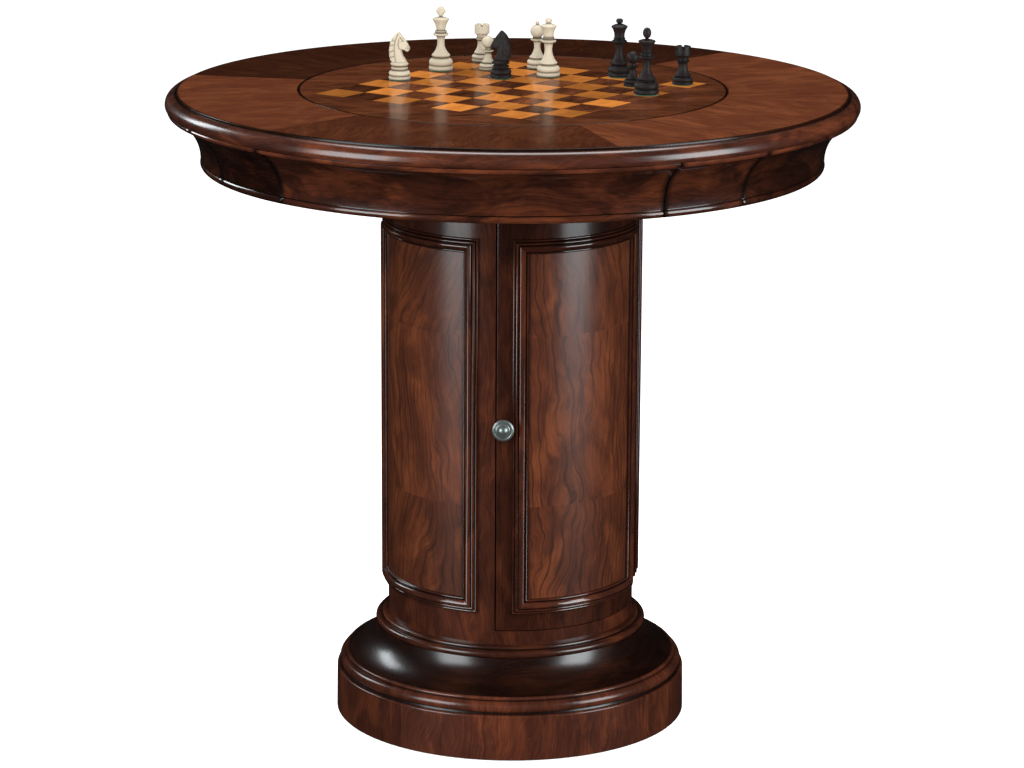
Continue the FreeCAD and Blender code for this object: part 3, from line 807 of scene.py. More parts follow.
class TABLE_OT_column(bpy.types.Operator):
    """Build the column wall round the door opening"""
    bl_idname = "gaming_table.column"
    bl_label = "Column"

    def execute(self, context):
        case = gather([
            wall(0.0, 360.0, COLLAR_TOP, BOTTOM_RAIL_TOP),
            wall(DOOR_END, 270.0, BOTTOM_RAIL_TOP, TOP_RAIL_BOTTOM),
            wall(0.0, 360.0, TOP_RAIL_BOTTOM, DECK_BOTTOM),
        ])
        lay_grain(case, COLUMN_RADIUS, upright=True)
        set_tone(case, lambda co: 0.25)
        add_piece("column_case", case, [upright_cherry()], "table",
                  ["column_shell", "column_bottom_rail", "column_top_rail"])
        return {"FINISHED"}


FRAME_PROFILE = [
    (0.0, 0.0), (0.05, 3.6), ((0.9, 5.2), (2.4, 5.3)), (3.6, 4.6), (4.0, 3.8), (4.6, 5.6),
    ((5.9, 8.1), (8.0, 7.8)), (9.0, 6.6), (9.4, 7.6), ((12.4, 10.8), (16.0, 9.4)),
    ((18.2, 8.0), (19.2, 5.2)), (19.7, 4.2), ((21.4, 5.4), (23.0, 4.0)), (23.95, 1.2), (24.0, 0.0),
]


def wrap(bm, centre):
    """Bends a flat mesh round the column: X becomes the arc, Y the stand-off, Z stays."""
    for vert in bm.verts:
        angle = math.radians(centre) + vert.co.x / (COLUMN_RADIUS * MM)
        radius = COLUMN_RADIUS * MM + vert.co.y
        vert.co = (radius * math.sin(angle), -radius * math.cos(angle), vert.co.z)


def slice_across(bm, half_width, count):
    """Cuts a flat mesh into narrow strips so that it bends smoothly."""
    for index in range(1, count):
        x = (-half_width + 2.0 * half_width * index / count) * MM
        bmesh.ops.bisect_plane(bm, geom=bm.verts[:] + bm.edges[:] + bm.faces[:], dist=1e-6,
                               plane_co=(x, 0.0, 0.0), plane_no=(1.0, 0.0, 0.0))


def frame_ring(centre, seed):
    """Mitred frame moulding, made flat by insets and then bent round the column."""
    half_w = math.radians(FRAME_HALF_ANGLE) * COLUMN_RADIUS
    half_h = (FRAME_TOP - FRAME_BOTTOM) / 2.0
    bm = bmesh.new()
    girth = bm.verts.layers.float.new("girth")
    glaze = bm.verts.layers.float.new("glaze")
    tone = bm.faces.layers.float.new("tone")
    uv = bm.loops.layers.uv.new("grain")
    corners = [(-half_w, -half_h), (-half_w, half_h), (half_w, half_h), (half_w, -half_h)]
    face = bm.faces.new([bm.verts.new((x * MM, 0.0, z * MM)) for x, z in reversed(corners)])
    face.normal_update()
    if face.normal.y < 0.0:
        face.normal_flip()
    path = moulded(FRAME_PROFILE, 5, -1.0)
    run = 0.0
    for before, here in zip(path, path[1:]):
        bmesh.ops.inset_region(bm, faces=[face], thickness=max(here[0] - before[0], 0.001) * MM,
                               depth=(here[1] - before[1]) * MM, use_even_offset=True, use_boundary=True)
        run += math.dist(before[:2], here[:2]) * MM
        for vert in face.verts:
            vert[girth] = run
            # painted shade along the frame's outer and inner edges, where it meets the column and the panel
            at_edge = here[0] < 1.0 or here[0] > FRAME_WIDTH - 1.0
            vert[glaze] = max(min(1.0, 1.7 * here[2]), 0.95 if at_edge else 0.0)
    bmesh.ops.delete(bm, geom=[face], context="FACES_ONLY")
    rims = [edge for edge in bm.edges if edge.is_boundary]
    bmesh.ops.bridge_loops(bm, edges=rims)
    slice_across(bm, half_w, 40)
    for face in bm.faces:
        middle = face.calc_center_median()
        upright_bar = half_w * MM - abs(middle.x) < half_h * MM - abs(middle.z)
        side = 1.0 if (middle.x if upright_bar else middle.z) > 0.0 else 2.0
        face[tone] = shade_of("frame", seed, upright_bar, side) * 0.6
        for loop in face.loops:
            along = loop.vert.co.z if upright_bar else loop.vert.co.x
            loop[uv].uv = (along + side * 3.0, loop.vert[girth] + seed)
    middle_z = (FRAME_TOP + FRAME_BOTTOM) / 2.0 * MM
    bmesh.ops.translate(bm, verts=bm.verts, vec=(0.0, 0.0, middle_z))
    wrap(bm, centre)
    bmesh.ops.recalc_face_normals(bm, faces=bm.faces)
    return bm


def panel_sheet(centre, seed):
    """Figured panel of three veneer sheets, bent round the column."""
    half_w = math.radians(FRAME_HALF_ANGLE) * COLUMN_RADIUS - FRAME_WIDTH
    bottom, top = FRAME_BOTTOM + FRAME_WIDTH, FRAME_TOP - FRAME_WIDTH
    levels = [bottom, *SHEET_JOINTS, top]
    turns = LEFT_SHEET_TURNS if seed == LEFT_PANEL else SHEET_TURNS
    sheets = []
    for index, (start, end) in enumerate(zip(levels, levels[1:])):
        bm = bmesh.new()
        scale = Matrix.Diagonal((2.0 * half_w * MM, SHEET_THICKNESS * MM, (end - start) * MM, 1.0))
        place = Matrix.Translation((0.0, SHEET_THICKNESS / 2.0 * MM, (start + end) / 2.0 * MM))
        bmesh.ops.create_cube(bm, size=1.0, matrix=place @ scale)
        slice_across(bm, half_w, 36)
        value = shade_of("sheet", seed, index) * 0.22 + SHEET_TONES[index]
        set_tone(bm, lambda co: value)
        cos, sin = math.cos(turns[index]), math.sin(turns[index])
        set_grain(bm, lambda co: (co.z * cos + co.x * sin + index * 1.7 + seed,
                                  co.x * cos - co.z * sin + index * 0.9 + seed * 2.3))
        # painted shade along the sheet's upright edges, in the recess beside the frame
        set_glaze(bm, lambda co, old: 0.9 if half_w - abs(co.x) / MM < SHEET_SHADE_WIDTH else 0.0)
        wrap(bm, centre)
        sheets.append(bm)
    return gather(sheets)


class TABLE_OT_panels(bpy.types.Operator):
    """Fit the moulded frames and the figured panels round the column"""
    bl_idname = "gaming_table.panels"
    bl_label = "Panels"

    def execute(self, context):
        door, *sides = list(enumerate(PANEL_CENTRES))
        for name, members, body, prefix, end in (
                ("door_frame_moulding", [door], "door", "door", ""),
                ("side_frame_mouldings", sides, "table", "side", "s")):
            frames = gather([frame_ring(centre, seed) for seed, centre in members])
            add_piece(name, frames, [frame_cherry()], body,
                      [prefix + "_panel_frame" + end], crease=50.0)
            panels = gather([panel_sheet(centre, seed) for seed, centre in members])
            add_piece(prefix + "_panel_veneer", panels, [figured_cherry()], body,
                      [prefix + "_figured_panel" + end])
        return {"FINISHED"}


# ---- door ------------------------------------------------------------------------------

KNOB_PROFILE = [
    (0.0, 0.0), (9.0, 0.0), (9.4, 0.8), (9.0, 1.6), ((6.8, 2.6), (6.2, 5.0)), (6.2, 9.0),
    ((9.0, 13.6), (15.4, 15.6)), ((17.2, 17.6), (15.8, 19.6)), ((14.6, 20.6), (13.2, 20.2)),
    (12.4, 19.2), (11.7, 19.4), ((10.9, 20.8), (10.0, 21.3)), (8.9, 21.2), (8.4, 21.8),
    ((4.6, 25.6), (0.0, 26.9)),
]


class TABLE_OT_door(bpy.types.Operator):
    """Bend the door leaf and turn its knob"""
    bl_idname = "gaming_table.door"
    bl_label = "Door"

    def execute(self, context):
        pivot_radius = COLUMN_RADIUS - COLUMN_WALL / 2.0
        pivot = DOOR_END - math.degrees((COLUMN_WALL / 2.0 + DOOR_GAP) / pivot_radius)
        start = DOOR_START + math.degrees(DOOR_GAP / COLUMN_RADIUS)
        leaf = wall(start, pivot - start, DOOR_BOTTOM, DOOR_TOP)
        free = [edge for edge in leaf.edges
                if all(math.degrees(azimuth_of(v.co)) < start + 0.01 for v in edge.verts)
                and all(radius_of(v.co) > COLUMN_RADIUS - 1.0 for v in edge.verts)]
        soften(leaf, free, sizes().door_edge, 4)
        angle = math.radians(pivot)
        axis = Vector((math.sin(angle), -math.cos(angle), 0.0)) * (pivot_radius * MM)
        axis.z = (DOOR_TOP + DOOR_BOTTOM) / 2.0 * MM
        stile = bmesh.new()
        bmesh.ops.create_cone(stile, cap_ends=True, segments=40, radius1=COLUMN_WALL / 2.0 * MM,
                              radius2=COLUMN_WALL / 2.0 * MM, depth=(DOOR_TOP - DOOR_BOTTOM - 0.2) * MM,
                              matrix=Matrix.Translation(axis))
        leaf = gather([leaf, stile])
        lay_grain(leaf, COLUMN_RADIUS, upright=True, shift=(1.9, 0.7))
        set_tone(leaf, lambda co: -0.15)
        add_piece("curved_door", leaf, [upright_cherry()], "door", ["door_leaf"])

        knob = turned(KNOB_PROFILE, closed=False, steps=8, flats=SMALL_FLATS)
        lay_grain(knob, 10.0)
        stand = Matrix.Rotation(math.radians(KNOB_AZIMUTH), 4, "Z") @ Matrix.Translation(
            (0.0, -(COLUMN_RADIUS + 0.1) * MM, KNOB_Z * MM)) @ Matrix.Rotation(math.radians(90.0), 4, "X")
        bmesh.ops.transform(knob, matrix=stand, verts=knob.verts)
        add_piece("door_knob_turning", knob, [pewter()], "door", ["door_knob"])
        return {"FINISHED"}


# ---- apron and drawers -----------------------------------------------------------------

def apron_outline(inner, bottom, top, proud):
    """Bottom bead, quirk, cove and top bead."""
    bead, foot, top_bead = BEAD_RADIUS + proud, COVE_FOOT + proud, TOP_BEAD_RADIUS + proud
    floor = BEAD_TOP + QUIRK
    rise = TOP_BEAD_BOTTOM - floor
    centre = foot + COVE_RADIUS
    middle = centre - math.sqrt(COVE_RADIUS ** 2 - (rise / 2.0) ** 2)
    end = centre - math.sqrt(COVE_RADIUS ** 2 - rise ** 2)
    return [
        (inner, bottom), (bead - 3.5, bottom),
        ((bead, bottom + 4.0), (bead - 1.5, BEAD_TOP - 0.6)),
        (bead - 3.6, BEAD_TOP), (bead - 3.6, floor), (foot, floor),
        ((middle, floor + rise / 2.0), (end, TOP_BEAD_BOTTOM)),
        ((top_bead - 1.2, TOP_BEAD_BOTTOM + 2.4), (top_bead, TOP_BEAD_BOTTOM + 5.6)),
        (top_bead - 1.2, top),
        (inner, top),
    ]


def apron_piece(name, node, body, outline, start, sweep, tone):
    """A block of the apron: a painted highlight on its top bead, painted shade in its cove and at its end
    seams.
    """
    block = turned(outline, start, sweep, steps=14, end_radius=sizes().edge)
    lay_grain(block, APRON_GRAIN_RADIUS, shift=(start * 0.1, start * 0.037))

    # the top bead's lift is a painted highlight and the cove's drop is painted shade
    def level_tone(co):
        if co.z > TOP_BEAD_BOTTOM * MM:
            return tone + TOP_BEAD_HIGHLIGHT_TONE
        return tone + (COVE_SHADE_TONE if co.z > (BEAD_TOP + 2.0) * MM else 0.0)

    # painted shade along the end seams, between the blocks
    def seam_glaze(co, old):
        near = math.degrees(azimuth_of(co, math.radians(start + sweep / 2.0)))
        return 1.0 if min(near - start, start + sweep - near) < SEAM_ANGLE else old

    set_tone(block, level_tone)
    set_glaze(block, seam_glaze)
    add_piece(name, block, [dark_cherry()], body, [node])


class TABLE_OT_apron(bpy.types.Operator):
    """Mould the fixed blocks of the apron and the two drawer faces"""
    bl_idname = "gaming_table.apron"
    bl_label = "Apron and drawer faces"

    def execute(self, context):
        outline = apron_outline(APRON_INNER, APRON_BOTTOM, TOP_UNDERSIDE, 0.0)
        places = ("front", "middle", "rear")
        for side, turn in (("right", 0.0), ("left", 180.0)):
            order = places if side == "right" else places[::-1]
            for place, start, end in zip(order, APRON_JOINTS, APRON_JOINTS[1:]):
                node = "apron_" + side + "_" + place
                tone = APRON_TONES_AND_SHADE[side][place]
                apron_piece(node + "_moulding", node, "table", outline, start + turn, end - start, tone)
        half = DRAWER_HALF_ANGLE - math.degrees(DRAWER_GAP / BEAD_RADIUS)
        face = apron_outline(APRON_INNER + 0.6, APRON_BOTTOM + 0.5, TOP_UNDERSIDE - 1.0, DRAWER_PROUD)
        for drawer, azimuth in DRAWER_AZIMUTHS.items():
            apron_piece(drawer + "_drawer_moulding", drawer + "_drawer_face", drawer + "_drawer", face,
                        azimuth - half, 2.0 * half, DRAWER_TONE)
        return {"FINISHED"}


# ---- top -------------------------------------------------------------------------------

def rim_outline():
    """Bullnose from its neck over the crest to the rebate that holds the ring top."""
    rise = RIM_CREST - RIM_WIDEST
    return [
        (TOP_OUTER + 0.2, TOP_UNDERSIDE), (RIM_NECK, TOP_UNDERSIDE),
        ((RIM_RADIUS - 0.8, RIM_FLANK), (RIM_RADIUS, RIM_WIDEST)),
        ((RIM_RADIUS - 0.29 * rise, RIM_CREST - 0.29 * rise), (RIM_RADIUS - rise, RIM_CREST)),
        (RIM_LIP, RIM_CREST - 0.6), (RIM_LIP, RIM_REBATE), (TOP_OUTER + 0.2, RIM_REBATE),
    ]


def ring_segment(index):
    """One mitred segment of the ring top, its grain along the middle radius."""
    sweep = 360.0 / TOP_SEGMENTS
    start = TOP_FIRST_JOINT + index * sweep
    bm = turned([
        (TOP_INNER, TOP_UNDERSIDE), (TOP_OUTER, TOP_UNDERSIDE), (TOP_OUTER, TABLE_TOP - 1.6),
        ((TOP_OUTER - 0.5, TABLE_TOP - 0.5), (TOP_OUTER - 1.6, TABLE_TOP)), (TOP_OUTER - 4.0, TABLE_TOP),
        (TOP_INNER + 3.0, TABLE_TOP), (TOP_INNER + 1.2, TABLE_TOP),
        ((TOP_INNER + 0.3, TABLE_TOP - 0.3), (TOP_INNER, TABLE_TOP - 1.2)),
    ], start, sweep, steps=4)
    middle = math.radians(start + sweep / 2.0)
    along = Vector((math.sin(middle), -math.cos(middle), 0.0))
    across = Vector((-along.y, along.x, 0.0))
    set_grain(bm, lambda co: (co.dot(along) + co.z + index * 2.1, co.dot(across) + co.z + index * 3.3))
    # painted shade along the segment's inner and outer edges, in the grooves beside the board and the rim
    inside, outside = TOP_INNER + RING_INNER_SHADE, TOP_OUTER - RING_OUTER_SHADE
    set_glaze(bm, lambda co, old: 0.0 if inside <= radius_of(co) <= outside else 1.0)
    set_tone(bm, lambda co: RING_TONES[index])
    return bm


class TABLE_OT_top(bpy.types.Operator):
    """Lay the mitred ring top and turn its rim"""
    bl_idname = "gaming_table.top"
    bl_label = "Ring top and rim"

    def execute(self, context):
        ring = gather([ring_segment(index) for index in range(TOP_SEGMENTS)])
        add_piece("ring_top", ring, [top_cherry()], "table", ["top_segments"])
        rim = turned(rim_outline(), steps=14)
        # painted shade on the rim's inner edge, in the groove beside the ring top
        set_glaze(rim, lambda co, old: max(
            old, min(1.0, max(0.0, (RIM_SHADE_END - radius_of(co)) / 2.0))))
        lay_grain(rim, RIM_RADIUS)
        set_tone(rim, lambda co: 0.55)
        add_piece("rim_bullnose", rim, [base_cherry()], "table", ["rim_moulding"])
        return {"FINISHED"}


# ---- board -----------------------------------------------------------------------------

def board_turn():
    """Turn of the board: its local X runs from the near corner to the right-hand one."""
    return Matrix.Rotation(math.radians(BOARD_NEAR_CORNER + 45.0), 4, "Z")


def board_squares(parity):
    """The 32 inlaid squares of one colour; parity 0 holds the near corner."""
    bm = bmesh.new()
    tone = bm.faces.layers.float.new("tone")
    bm.verts.layers.float.new("glaze")
    uv = bm.loops.layers.uv.new("grain")
    depth = TABLE_TOP - INLAY_BOTTOM
    side = SQUARE * MM - sizes().sheet_gap
    for file in range(8):
        for rank in range(8):
            if (file + rank) % 2 != parity:
                continue
            centre = Vector(((file - 3.5) * SQUARE, (rank - 3.5) * SQUARE, TABLE_TOP - depth / 2.0)) * MM
            place = Matrix.Translation(centre) @ Matrix.Diagonal((side, side, depth * MM, 1.0))
            made = bmesh.ops.create_cube(bm, size=1.0, matrix=place)
            value = shade_of("square", file, rank)
            for face in {face for vert in made["verts"] for face in vert.link_faces}:
                face[tone] = value
                for loop in face.loops:
                    loop[uv].uv = (loop.vert.co.x + 1.3 * file + rank, loop.vert.co.y + 2.7 * rank)
    bmesh.ops.transform(bm, matrix=board_turn(), verts=bm.verts)
    return bm


def board_border():
    """Round border with the square opening, and a softened rim."""
    bm = bmesh.new()
    bmesh.ops.create_circle(bm, segments=sizes().smoothness, radius=INSERT_RADIUS * MM)
    half = 4.0 * SQUARE * MM
    inner = [bm.verts.new((x * half, y * half, 0.0)) for x, y in ((-1, -1), (1, -1), (1, 1), (-1, 1))]
    for start, end in zip(inner, inner[1:] + inner[:1]):
        bm.edges.new((start, end))
    bmesh.ops.triangle_fill(bm, use_beauty=True, use_dissolve=False, edges=bm.edges[:])
    bmesh.ops.inset_region(bm, faces=bm.faces[:], thickness=BORDER_INSET * MM, use_boundary=True,
                           use_even_offset=True)
    body = bmesh.ops.extrude_face_region(bm, geom=bm.faces[:])
    lowered = [item for item in body["geom"] if isinstance(item, bmesh.types.BMVert)]
    bmesh.ops.translate(bm, verts=lowered, vec=(0.0, 0.0, -(TABLE_TOP - INLAY_BOTTOM) * MM))
    bmesh.ops.recalc_face_normals(bm, faces=bm.faces)
    outer = [edge for edge in bm.edges
             if all(v.co.z > -1e-6 and v.co.length > (INSERT_RADIUS - 1.0) * MM for v in edge.verts)]
    soften(bm, outer, BORDER_EDGE * MM, 3)
    place = Matrix.Translation((0.0, 0.0, TABLE_TOP * MM)) @ board_turn()
    bmesh.ops.transform(bm, matrix=place, verts=bm.verts)
    set_tone(bm, lambda co: BORDER_TONE)
    set_grain(bm, lambda co: (co.x + 5.0, co.y + co.z))
    # painted shade along the border's outer edge, in the groove round the board
    set_glaze(bm, lambda co, old: 1.0 if radius_of(co) > INSERT_RADIUS - BORDER_SHADE else 0.0)
    return bm


class TABLE_OT_board(bpy.types.Operator):
    """Inlay the lift-out chess board"""
    bl_idname = "gaming_table.board"
    bl_label = "Chess board"

    def execute(self, context):
        border, dark, light = board_border(), board_squares(0), board_squares(1)
        for name, veneered, material, slot, node in (
                ("board_border_veneer", border, border_cherry(), "ring_top_cherry", "board_border"),
                ("dark_square_veneer", dark, dark_veneer(), "board_dark", "board_dark_squares"),
                ("light_square_veneer", light, light_veneer(), "board_light", "board_light_squares")):
            add_piece(name, veneered, [material], "game_board", [node])
        return {"FINISHED"}


# ---- men -------------------------------------------------------------------------------

# Outlines of the men: radius as a share of the foot's, height as a share of the man's.
FELT_SHARE = 0.012
FOOT = [
    (0.0, 0.0), (0.97, 0.0), (0.97, FELT_SHARE), (1.0, 0.02), ((1.01, 0.05), (0.98, 0.075)),
    (0.93, 0.085), (0.95, 0.10),
    ((0.98, 0.145), (0.80, 0.185)), (0.66, 0.20), (0.66, 0.212), (0.76, 0.225), (0.78, 0.238),
]
TURNINGS = {
    "king": FOOT + [(0.73, 0.25), ((0.42, 0.33), (0.38, 0.52)), (0.42, 0.535), (0.62, 0.545), (0.65, 0.56),
                    (0.60, 0.575), (0.44, 0.58), (0.44, 0.592), (0.52, 0.598), (0.50, 0.612), (0.37, 0.62),
                    ((0.46, 0.70), (0.69, 0.785)), (0.69, 0.80), ((0.44, 0.817), (0.17, 0.826)),
                    (0.13, 0.836), ((0.345, 0.91), (0.20, 0.985)), (0.0, 1.0)],
    "queen": FOOT + [(0.72, 0.25), ((0.43, 0.35), (0.40, 0.57)), (0.44, 0.585), (0.63, 0.597), (0.67, 0.615),
                     (0.60, 0.632), (0.48, 0.637), (0.47, 0.65), (0.53, 0.657), (0.50, 0.672), (0.45, 0.68),
                     ((0.47, 0.76), (0.70, 0.86)), (0.71, 0.872), ((0.46, 0.90), (0.22, 0.918)),
                     (0.15, 0.924), ((0.31, 0.962), (0.0, 1.0))],
    "bishop": FOOT + [(0.72, 0.25), ((0.43, 0.34), (0.38, 0.565)), (0.42, 0.58), (0.62, 0.592), (0.66, 0.607),
                      (0.60, 0.622), (0.44, 0.627), (0.43, 0.64), (0.48, 0.648), (0.38, 0.66),
                      ((0.69, 0.79), (0.20, 0.918)), (0.12, 0.926), ((0.19, 0.965), (0.0, 1.0))],
    "rook": FOOT + [(0.74, 0.255), ((0.52, 0.36), (0.48, 0.57)), (0.52, 0.585), (0.62, 0.60), (0.64, 0.615),
                    (0.60, 0.63), (0.52, 0.64), ((0.53, 0.70), (0.70, 0.755)), (0.74, 0.765), (0.74, 0.99),
                    (0.72, 1.0), (0.55, 1.0), (0.53, 0.99), (0.51, 0.88), (0.0, 0.87)],
    "pawn": FOOT + [(0.70, 0.25), ((0.42, 0.36), (0.38, 0.51)), (0.42, 0.525), (0.62, 0.54), (0.66, 0.557),
                    (0.58, 0.575), (0.38, 0.585), (0.34, 0.61), (0.30, 0.655), ((0.71, 0.82), (0.0, 1.0))],
    "knight": FOOT + [(0.74, 0.26), (0.64, 0.275), (0.64, 0.29), (0.80, 0.305), (0.84, 0.33), (0.70, 0.36),
                      (0.0, 0.37)],
}
# half the width of a rook's gaps in degrees, and the height of their floor
ROOK_NOTCHES = {"white_rook": (6.0, 0.955), "black_rook": (10.0, 0.90)}
HEAD_SIDE = [
    (-0.74, 0.33), (-0.93, 0.46), (-0.96, 0.62), (-0.84, 0.78), (-0.58, 0.90), (-0.26, 0.96), (-0.04, 1.0),
    (0.10, 0.95), (0.34, 0.89), (0.62, 0.80), (0.88, 0.71), (0.98, 0.66), (0.96, 0.61), (0.78, 0.575),
    (0.60, 0.60), (0.36, 0.63), (0.20, 0.585), (0.30, 0.50), (0.58, 0.41), (0.76, 0.33),
]
KNIGHT_FACING = {"white_knight": 80.0, "black_knight": -115.0}
CUT_REACH = 1.3
CUT_DEPTH = 0.55
CARVING = [
    [(-0.08, 0.95), (-0.30, 0.82), (-0.42, 0.66), (-0.38, 0.50), (-0.28, 0.36)],
    [(0.28, 0.62), (0.04, 0.65), (-0.06, 0.74), (0.02, 0.84)],
    [(0.97, 0.655), (0.70, 0.665)], [(0.10, 0.88), (0.32, 0.825), (0.46, 0.80)], [(0.23, 0.80), (0.27, 0.80)],
    [(0.83, 0.705), (0.86, 0.70)], [(-0.92, 0.56), (-0.46, 0.61)], [(-0.86, 0.70), (-0.42, 0.72)],
    [(-0.68, 0.83), (-0.36, 0.79)], [(-0.88, 0.45), (-0.42, 0.49)],
]


def foot_of(node):
    """Middle of a man's foot, its height and its foot radius, in millimetres."""
    bottom, top = low(node), high(node)
    centre = (bottom + top) / 2.0
    return Vector((centre.x, centre.y, bottom.z)), top.z - bottom.z, (top.x - bottom.x) / 2.0


def knight_head(radius, height):
    """Carved head looking along -Y: a side view drawn out, swelled and smoothed."""
    bm = bmesh.new()
    corners = [bm.verts.new((0.0, -out * radius * MM, up * height * MM)) for out, up in HEAD_SIDE]
    side = bm.faces.new(corners)
    half = 0.40 * radius * MM
    bmesh.ops.translate(bm, verts=bm.verts, vec=(-half, 0.0, 0.0))
    body = bmesh.ops.extrude_face_region(bm, geom=[side], use_keep_orig=True)
    moved = [item for item in body["geom"] if isinstance(item, bmesh.types.BMVert)]
    bmesh.ops.translate(bm, verts=moved, vec=(2.0 * half, 0.0, 0.0))
    bmesh.ops.recalc_face_normals(bm, faces=bm.faces)
    flanks = [face for face in bm.faces if len(face.verts) > 4]
    for flank in flanks:
        bmesh.ops.inset_region(bm, faces=[flank], thickness=0.16 * radius * MM,
                               depth=0.05 * radius * MM, use_even_offset=True)
    for vert in bm.verts:
        out = -vert.co.y / (radius * MM)
        up = vert.co.z / (height * MM)
        narrow = 1.0 - 0.35 * max(0.0, out) - 0.45 * max(0.0, up - 0.72) / 0.28 - 0.3 * max(0.0, -out - 0.5)
        vert.co.x *= max(0.3, narrow)
    bmesh.ops.subdivide_edges(bm, edges=bm.edges[:], cuts=1, use_grid_fill=True)
    bmesh.ops.triangulate(bm, faces=[face for face in bm.faces if len(face.verts) > 4])
    for _ in range(3):
        bmesh.ops.smooth_vert(bm, verts=bm.verts, factor=0.35,
                              use_axis_x=True, use_axis_y=True, use_axis_z=True)
    carve(bm, radius, height)
    return bm


def off_line(point, start, end):
    """Distance of a point in the side view from a carved stroke."""
    along = end - start
    t = max(0.0, min(1.0, (point - start).dot(along) / along.length_squared))
    return (point - start - along * t).length


def carve(bm, radius, height):
    """Cuts the head finely and sinks the mane, jaw, brow, eye and mouth into its flanks, with painted shade
    along the cuts.
    """
    glaze = bm.verts.layers.float.new("glaze")
    for axis, start, end in ((1, -radius, radius), (2, 0.30 * height, height)):
        normal = Vector((0.0, float(axis == 1), float(axis == 2)))
        for index in range(1, int(end - start)):
            bmesh.ops.bisect_plane(bm, geom=bm.verts[:] + bm.edges[:] + bm.faces[:], dist=1e-6,
                                   plane_co=normal * (start + index) * MM, plane_no=normal)
    bmesh.ops.triangulate(bm, faces=[face for face in bm.faces if len(face.verts) > 4])
    strokes = []
    for line in CARVING:
        points = [Vector((out * radius, up * height)) for out, up in line]
        strokes.extend(zip(points, points[1:]))
    for vert in bm.verts:
        point = Vector((-vert.co.y, vert.co.z)) / MM
        depth = 1.0 - min(off_line(point, start, end) for start, end in strokes) / CUT_REACH
        if depth > 0.0 and abs(vert.co.x) > 0.0:
            # painted shade along the carved lines
            vert[glaze] = depth
            vert.co.x -= math.copysign(min(CUT_DEPTH * depth * MM, 0.4 * abs(vert.co.x)), vert.co.x)


def shape_cross(man, height):
    """Turns a king's finial into a flat cross with four rounded arms."""
    middle = 0.913 * height * MM
    for vert in man.verts:
        rise = vert.co.z - middle
        if rise > -0.075 * height * MM:
            waist = 1.0 - 0.16 * math.sin(2.0 * math.atan2(rise, vert.co.x)) ** 2
            vert.co = (1.2 * vert.co.x * waist, vert.co.y * 0.6, middle + rise * waist)


def cut_notches(man, height, half, floor):
    """Lowers the rook's rim in six gaps, each given by half its width in degrees."""
    for vert in man.verts:
        off = (math.degrees(azimuth_of(vert.co)) + 30.0) % 60.0 - 30.0
        if abs(off) < half and vert.co.z > 0.93 * height * MM:
            vert.co.z = floor * height * MM


def chess_man(node, kind):
    """A man standing on the board; its second material is the felt under its foot."""
    centre, height, radius = foot_of(node)
    points = [tuple((x * radius, z * height) for x, z in entry) if isinstance(entry[0], tuple)
              else (entry[0] * radius, entry[1] * height) for entry in TURNINGS[kind]]
    parts = [turned(points, closed=False, steps=8, flats=120 if kind == "rook" else SMALL_FLATS)]
    if kind == "knight":
        head = knight_head(radius, height)
        turn = Matrix.Rotation(math.radians(KNIGHT_FACING[node]), 3, "Z")
        bmesh.ops.rotate(head, verts=head.verts, cent=(0, 0, 0), matrix=turn)
        parts.append(head)
    if node == "white_king":
        shape_cross(parts[0], height)
    if kind == "rook":
        cut_notches(parts[0], height, *ROOK_NOTCHES[node])
    man = gather(parts)
    for face in man.faces:
        face.material_index = 1 if face.calc_center_median().z < FELT_SHARE * height * MM else 0
    bmesh.ops.translate(man, verts=man.verts, vec=centre * MM)
    return man


class TABLE_OT_men(bpy.types.Operator):
    """Turn and carve the chess men"""
    bl_idname = "gaming_table.men"
    bl_label = "Chess men"

    def execute(self, context):
        for node in sorted(frame["nodes"]):
            side, _, kind = node.partition("_")
            if side not in ("white", "black"):
                continue
            material = pale_wood() if side == "white" else ebony_wood()
            add_piece(node + "_man", chess_man(node, kind), [material, felt()], node, [node],
                      crease=40.0)
        return {"FINISHED"}


# ---- fittings --------------------------------------------------------------------------

class TABLE_OT_fittings(bpy.types.Operator):
    """Finish the inner woodwork and the hardware that keep their own shape"""
    bl_idname = "gaming_table.fittings"
    bl_label = "Inner pieces"

    def execute(self, context):
        made = {
            "interior_wood": inside_wood(),
            "steel": plain_finish("zinc_steel", (0.52, 0.52, 0.54), 0.35, metallic=1.0),
            "brass": plain_finish("turned_brass", (0.62, 0.42, 0.17), 0.3, metallic=1.0),
            "green_felt": felt(),
            "glide_plastic": plain_finish("glide_plastic", (0.02, 0.02, 0.022), 0.5),
            "catch_plastic": plain_finish("catch_plastic", (0.09, 0.04, 0.02), 0.45),
            "dark_cherry": cherry("cut_cherry", mapped=False),
        }
        slots = {part["node"]: part["material_slot"] for part in frame["record"]["subparts"]}
        for name, node in frame["nodes"].items():
            material = made.get(slots[name])
            if material:
                node.data.materials.clear()
                node.data.materials.append(material)
        return {"FINISHED"}


# ---- stage -----------------------------------------------------------------------------

def area_light(name, azimuth, distance, height, size, energy, aim, tint, shine):
    """A softbox round the table, aimed at a height on its axis."""
    light = bpy.data.lights.new(name, "AREA")
    light.shape = "RECTANGLE"
    light.size, light.size_y = size
    light.energy = energy
    light.color = tint
    box = bpy.data.objects.new(name, light)
    angle = math.radians(azimuth)
    place = Vector((distance * math.sin(angle), -distance * math.cos(angle), height))
    box.location = place
    box.rotation_euler = (Vector((0.0, 0.0, aim)) - place).to_track_quat("-Z", "Y").to_euler()
    box.visible_glossy = shine
    bpy.context.scene.collection.objects.link(box)


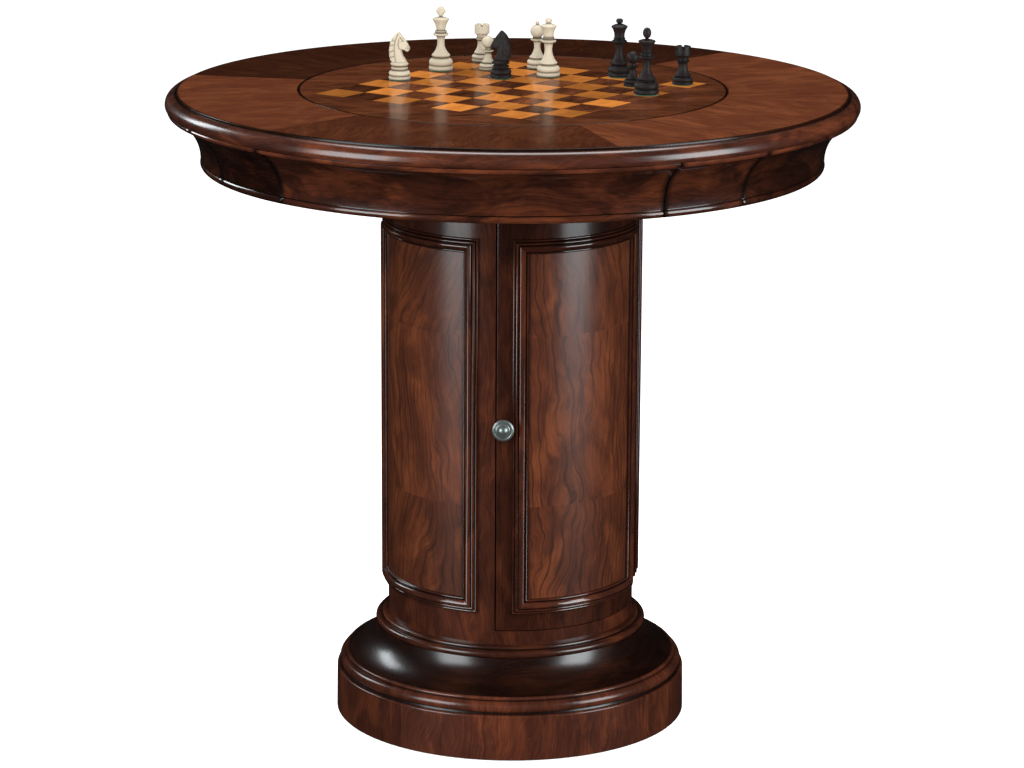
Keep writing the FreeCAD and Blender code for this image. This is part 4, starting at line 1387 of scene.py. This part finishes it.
class TABLE_OT_stage(bpy.types.Operator):
    """Set the pale floor, the studio light and the camera"""
    bl_idname = "gaming_table.stage"
    bl_label = "Stage"

    def execute(self, context):
        scene = context.scene
        floor = bmesh.new()
        bmesh.ops.create_grid(floor, x_segments=1, y_segments=1, size=30.0)
        mesh = bpy.data.meshes.new("studio_floor")
        floor.to_mesh(mesh)
        floor.free()
        material, tree, shader = new_material("pale_floor")
        place = add_node(tree, "ShaderNodeTexCoord").outputs["Object"]
        haze = noise_value(tree, place, (0.8, 0.8, 0.8), ORIGIN, 2.0)
        feed(tree, shader, {
            "Base Color": mixed(tree, haze, (0.86, 0.86, 0.86, 1.0), (0.90, 0.90, 0.90, 1.0)),
            "Roughness": 0.9, "Emission Color": rgba(WHITE), "Emission Strength": 0.75})
        mesh.materials.append(material)
        ground = bpy.data.objects.new("studio_floor", mesh)
        scene.collection.objects.link(ground)
        ground.visible_glossy = False
        ground.visible_diffuse = False

        world = bpy.data.worlds.new("studio")
        scene.world = world
        world.use_nodes = True
        sky = world.node_tree
        background = sky.nodes["Background"]
        path = add_node(sky, "ShaderNodeLightPath")
        soft = maths(sky, "MULTIPLY_ADD", path.outputs["Is Diffuse Ray"], 0.42, 0.006)
        level = maths(sky, "ADD", path.outputs["Is Camera Ray"], soft)
        feed(sky, background, {"Color": rgba(WHITE), "Strength": level})

        for row in LIGHTS:
            area_light(*row)

        lens = bpy.data.cameras.new("studio_camera")
        lens.sensor_width = 36.0
        lens.lens = CAMERA_LENS
        lens.shift_x, lens.shift_y = CAMERA_SHIFT
        lens.clip_end = 100.0
        camera = bpy.data.objects.new("studio_camera", lens)
        camera.location = CAMERA_PLACE
        tilt = Matrix.Rotation(math.radians(90.0 - CAMERA_TILT), 4, "X")
        roll = Matrix.Rotation(math.radians(CAMERA_ROLL), 4, "Z")
        camera.rotation_euler = (tilt @ roll).to_euler()
        scene.collection.objects.link(camera)
        scene.camera = camera
        scene.view_settings.view_transform = "Standard"
        return {"FINISHED"}


class TABLE_PT_sidebar(bpy.types.Panel):
    """Lists the steps of the table in the order they are built"""
    bl_label = "Gaming table"
    bl_idname = "TABLE_PT_sidebar"
    bl_space_type = "VIEW_3D"
    bl_region_type = "UI"
    bl_category = "Gaming table"

    def draw(self, context):
        for step in STEPS:
            self.layout.operator(step.bl_idname)
        for group in (context.scene.table_sizes, context.scene.table_finishes):
            for name in group.bl_rna.properties.keys():
                if name not in ("rna_type", "name"):
                    self.layout.prop(group, name)


STEPS = (TABLE_OT_stage, TABLE_OT_base, TABLE_OT_column, TABLE_OT_panels, TABLE_OT_door, TABLE_OT_apron,
         TABLE_OT_top, TABLE_OT_board, TABLE_OT_men, TABLE_OT_fittings)
CLASSES = (TableFinishes, TableSizes, *STEPS, TABLE_PT_sidebar)


def register():
    for item in CLASSES:
        bpy.utils.register_class(item)
    bpy.types.Scene.table_finishes = bpy.props.PointerProperty(type=TableFinishes)
    bpy.types.Scene.table_sizes = bpy.props.PointerProperty(type=TableSizes)


def unregister():
    del bpy.types.Scene.table_sizes
    del bpy.types.Scene.table_finishes
    for item in reversed(CLASSES):
        bpy.utils.unregister_class(item)


def main():
    register()
    bpy.ops.gaming_table.stage()
    bpy.ops.gaming_table.base()
    bpy.ops.gaming_table.column()
    bpy.ops.gaming_table.panels()
    bpy.ops.gaming_table.door()
    bpy.ops.gaming_table.apron()
    bpy.ops.gaming_table.top()
    bpy.ops.gaming_table.board()
    bpy.ops.gaming_table.men()
    bpy.ops.gaming_table.fittings()


if __name__ == "__main__":
    main()
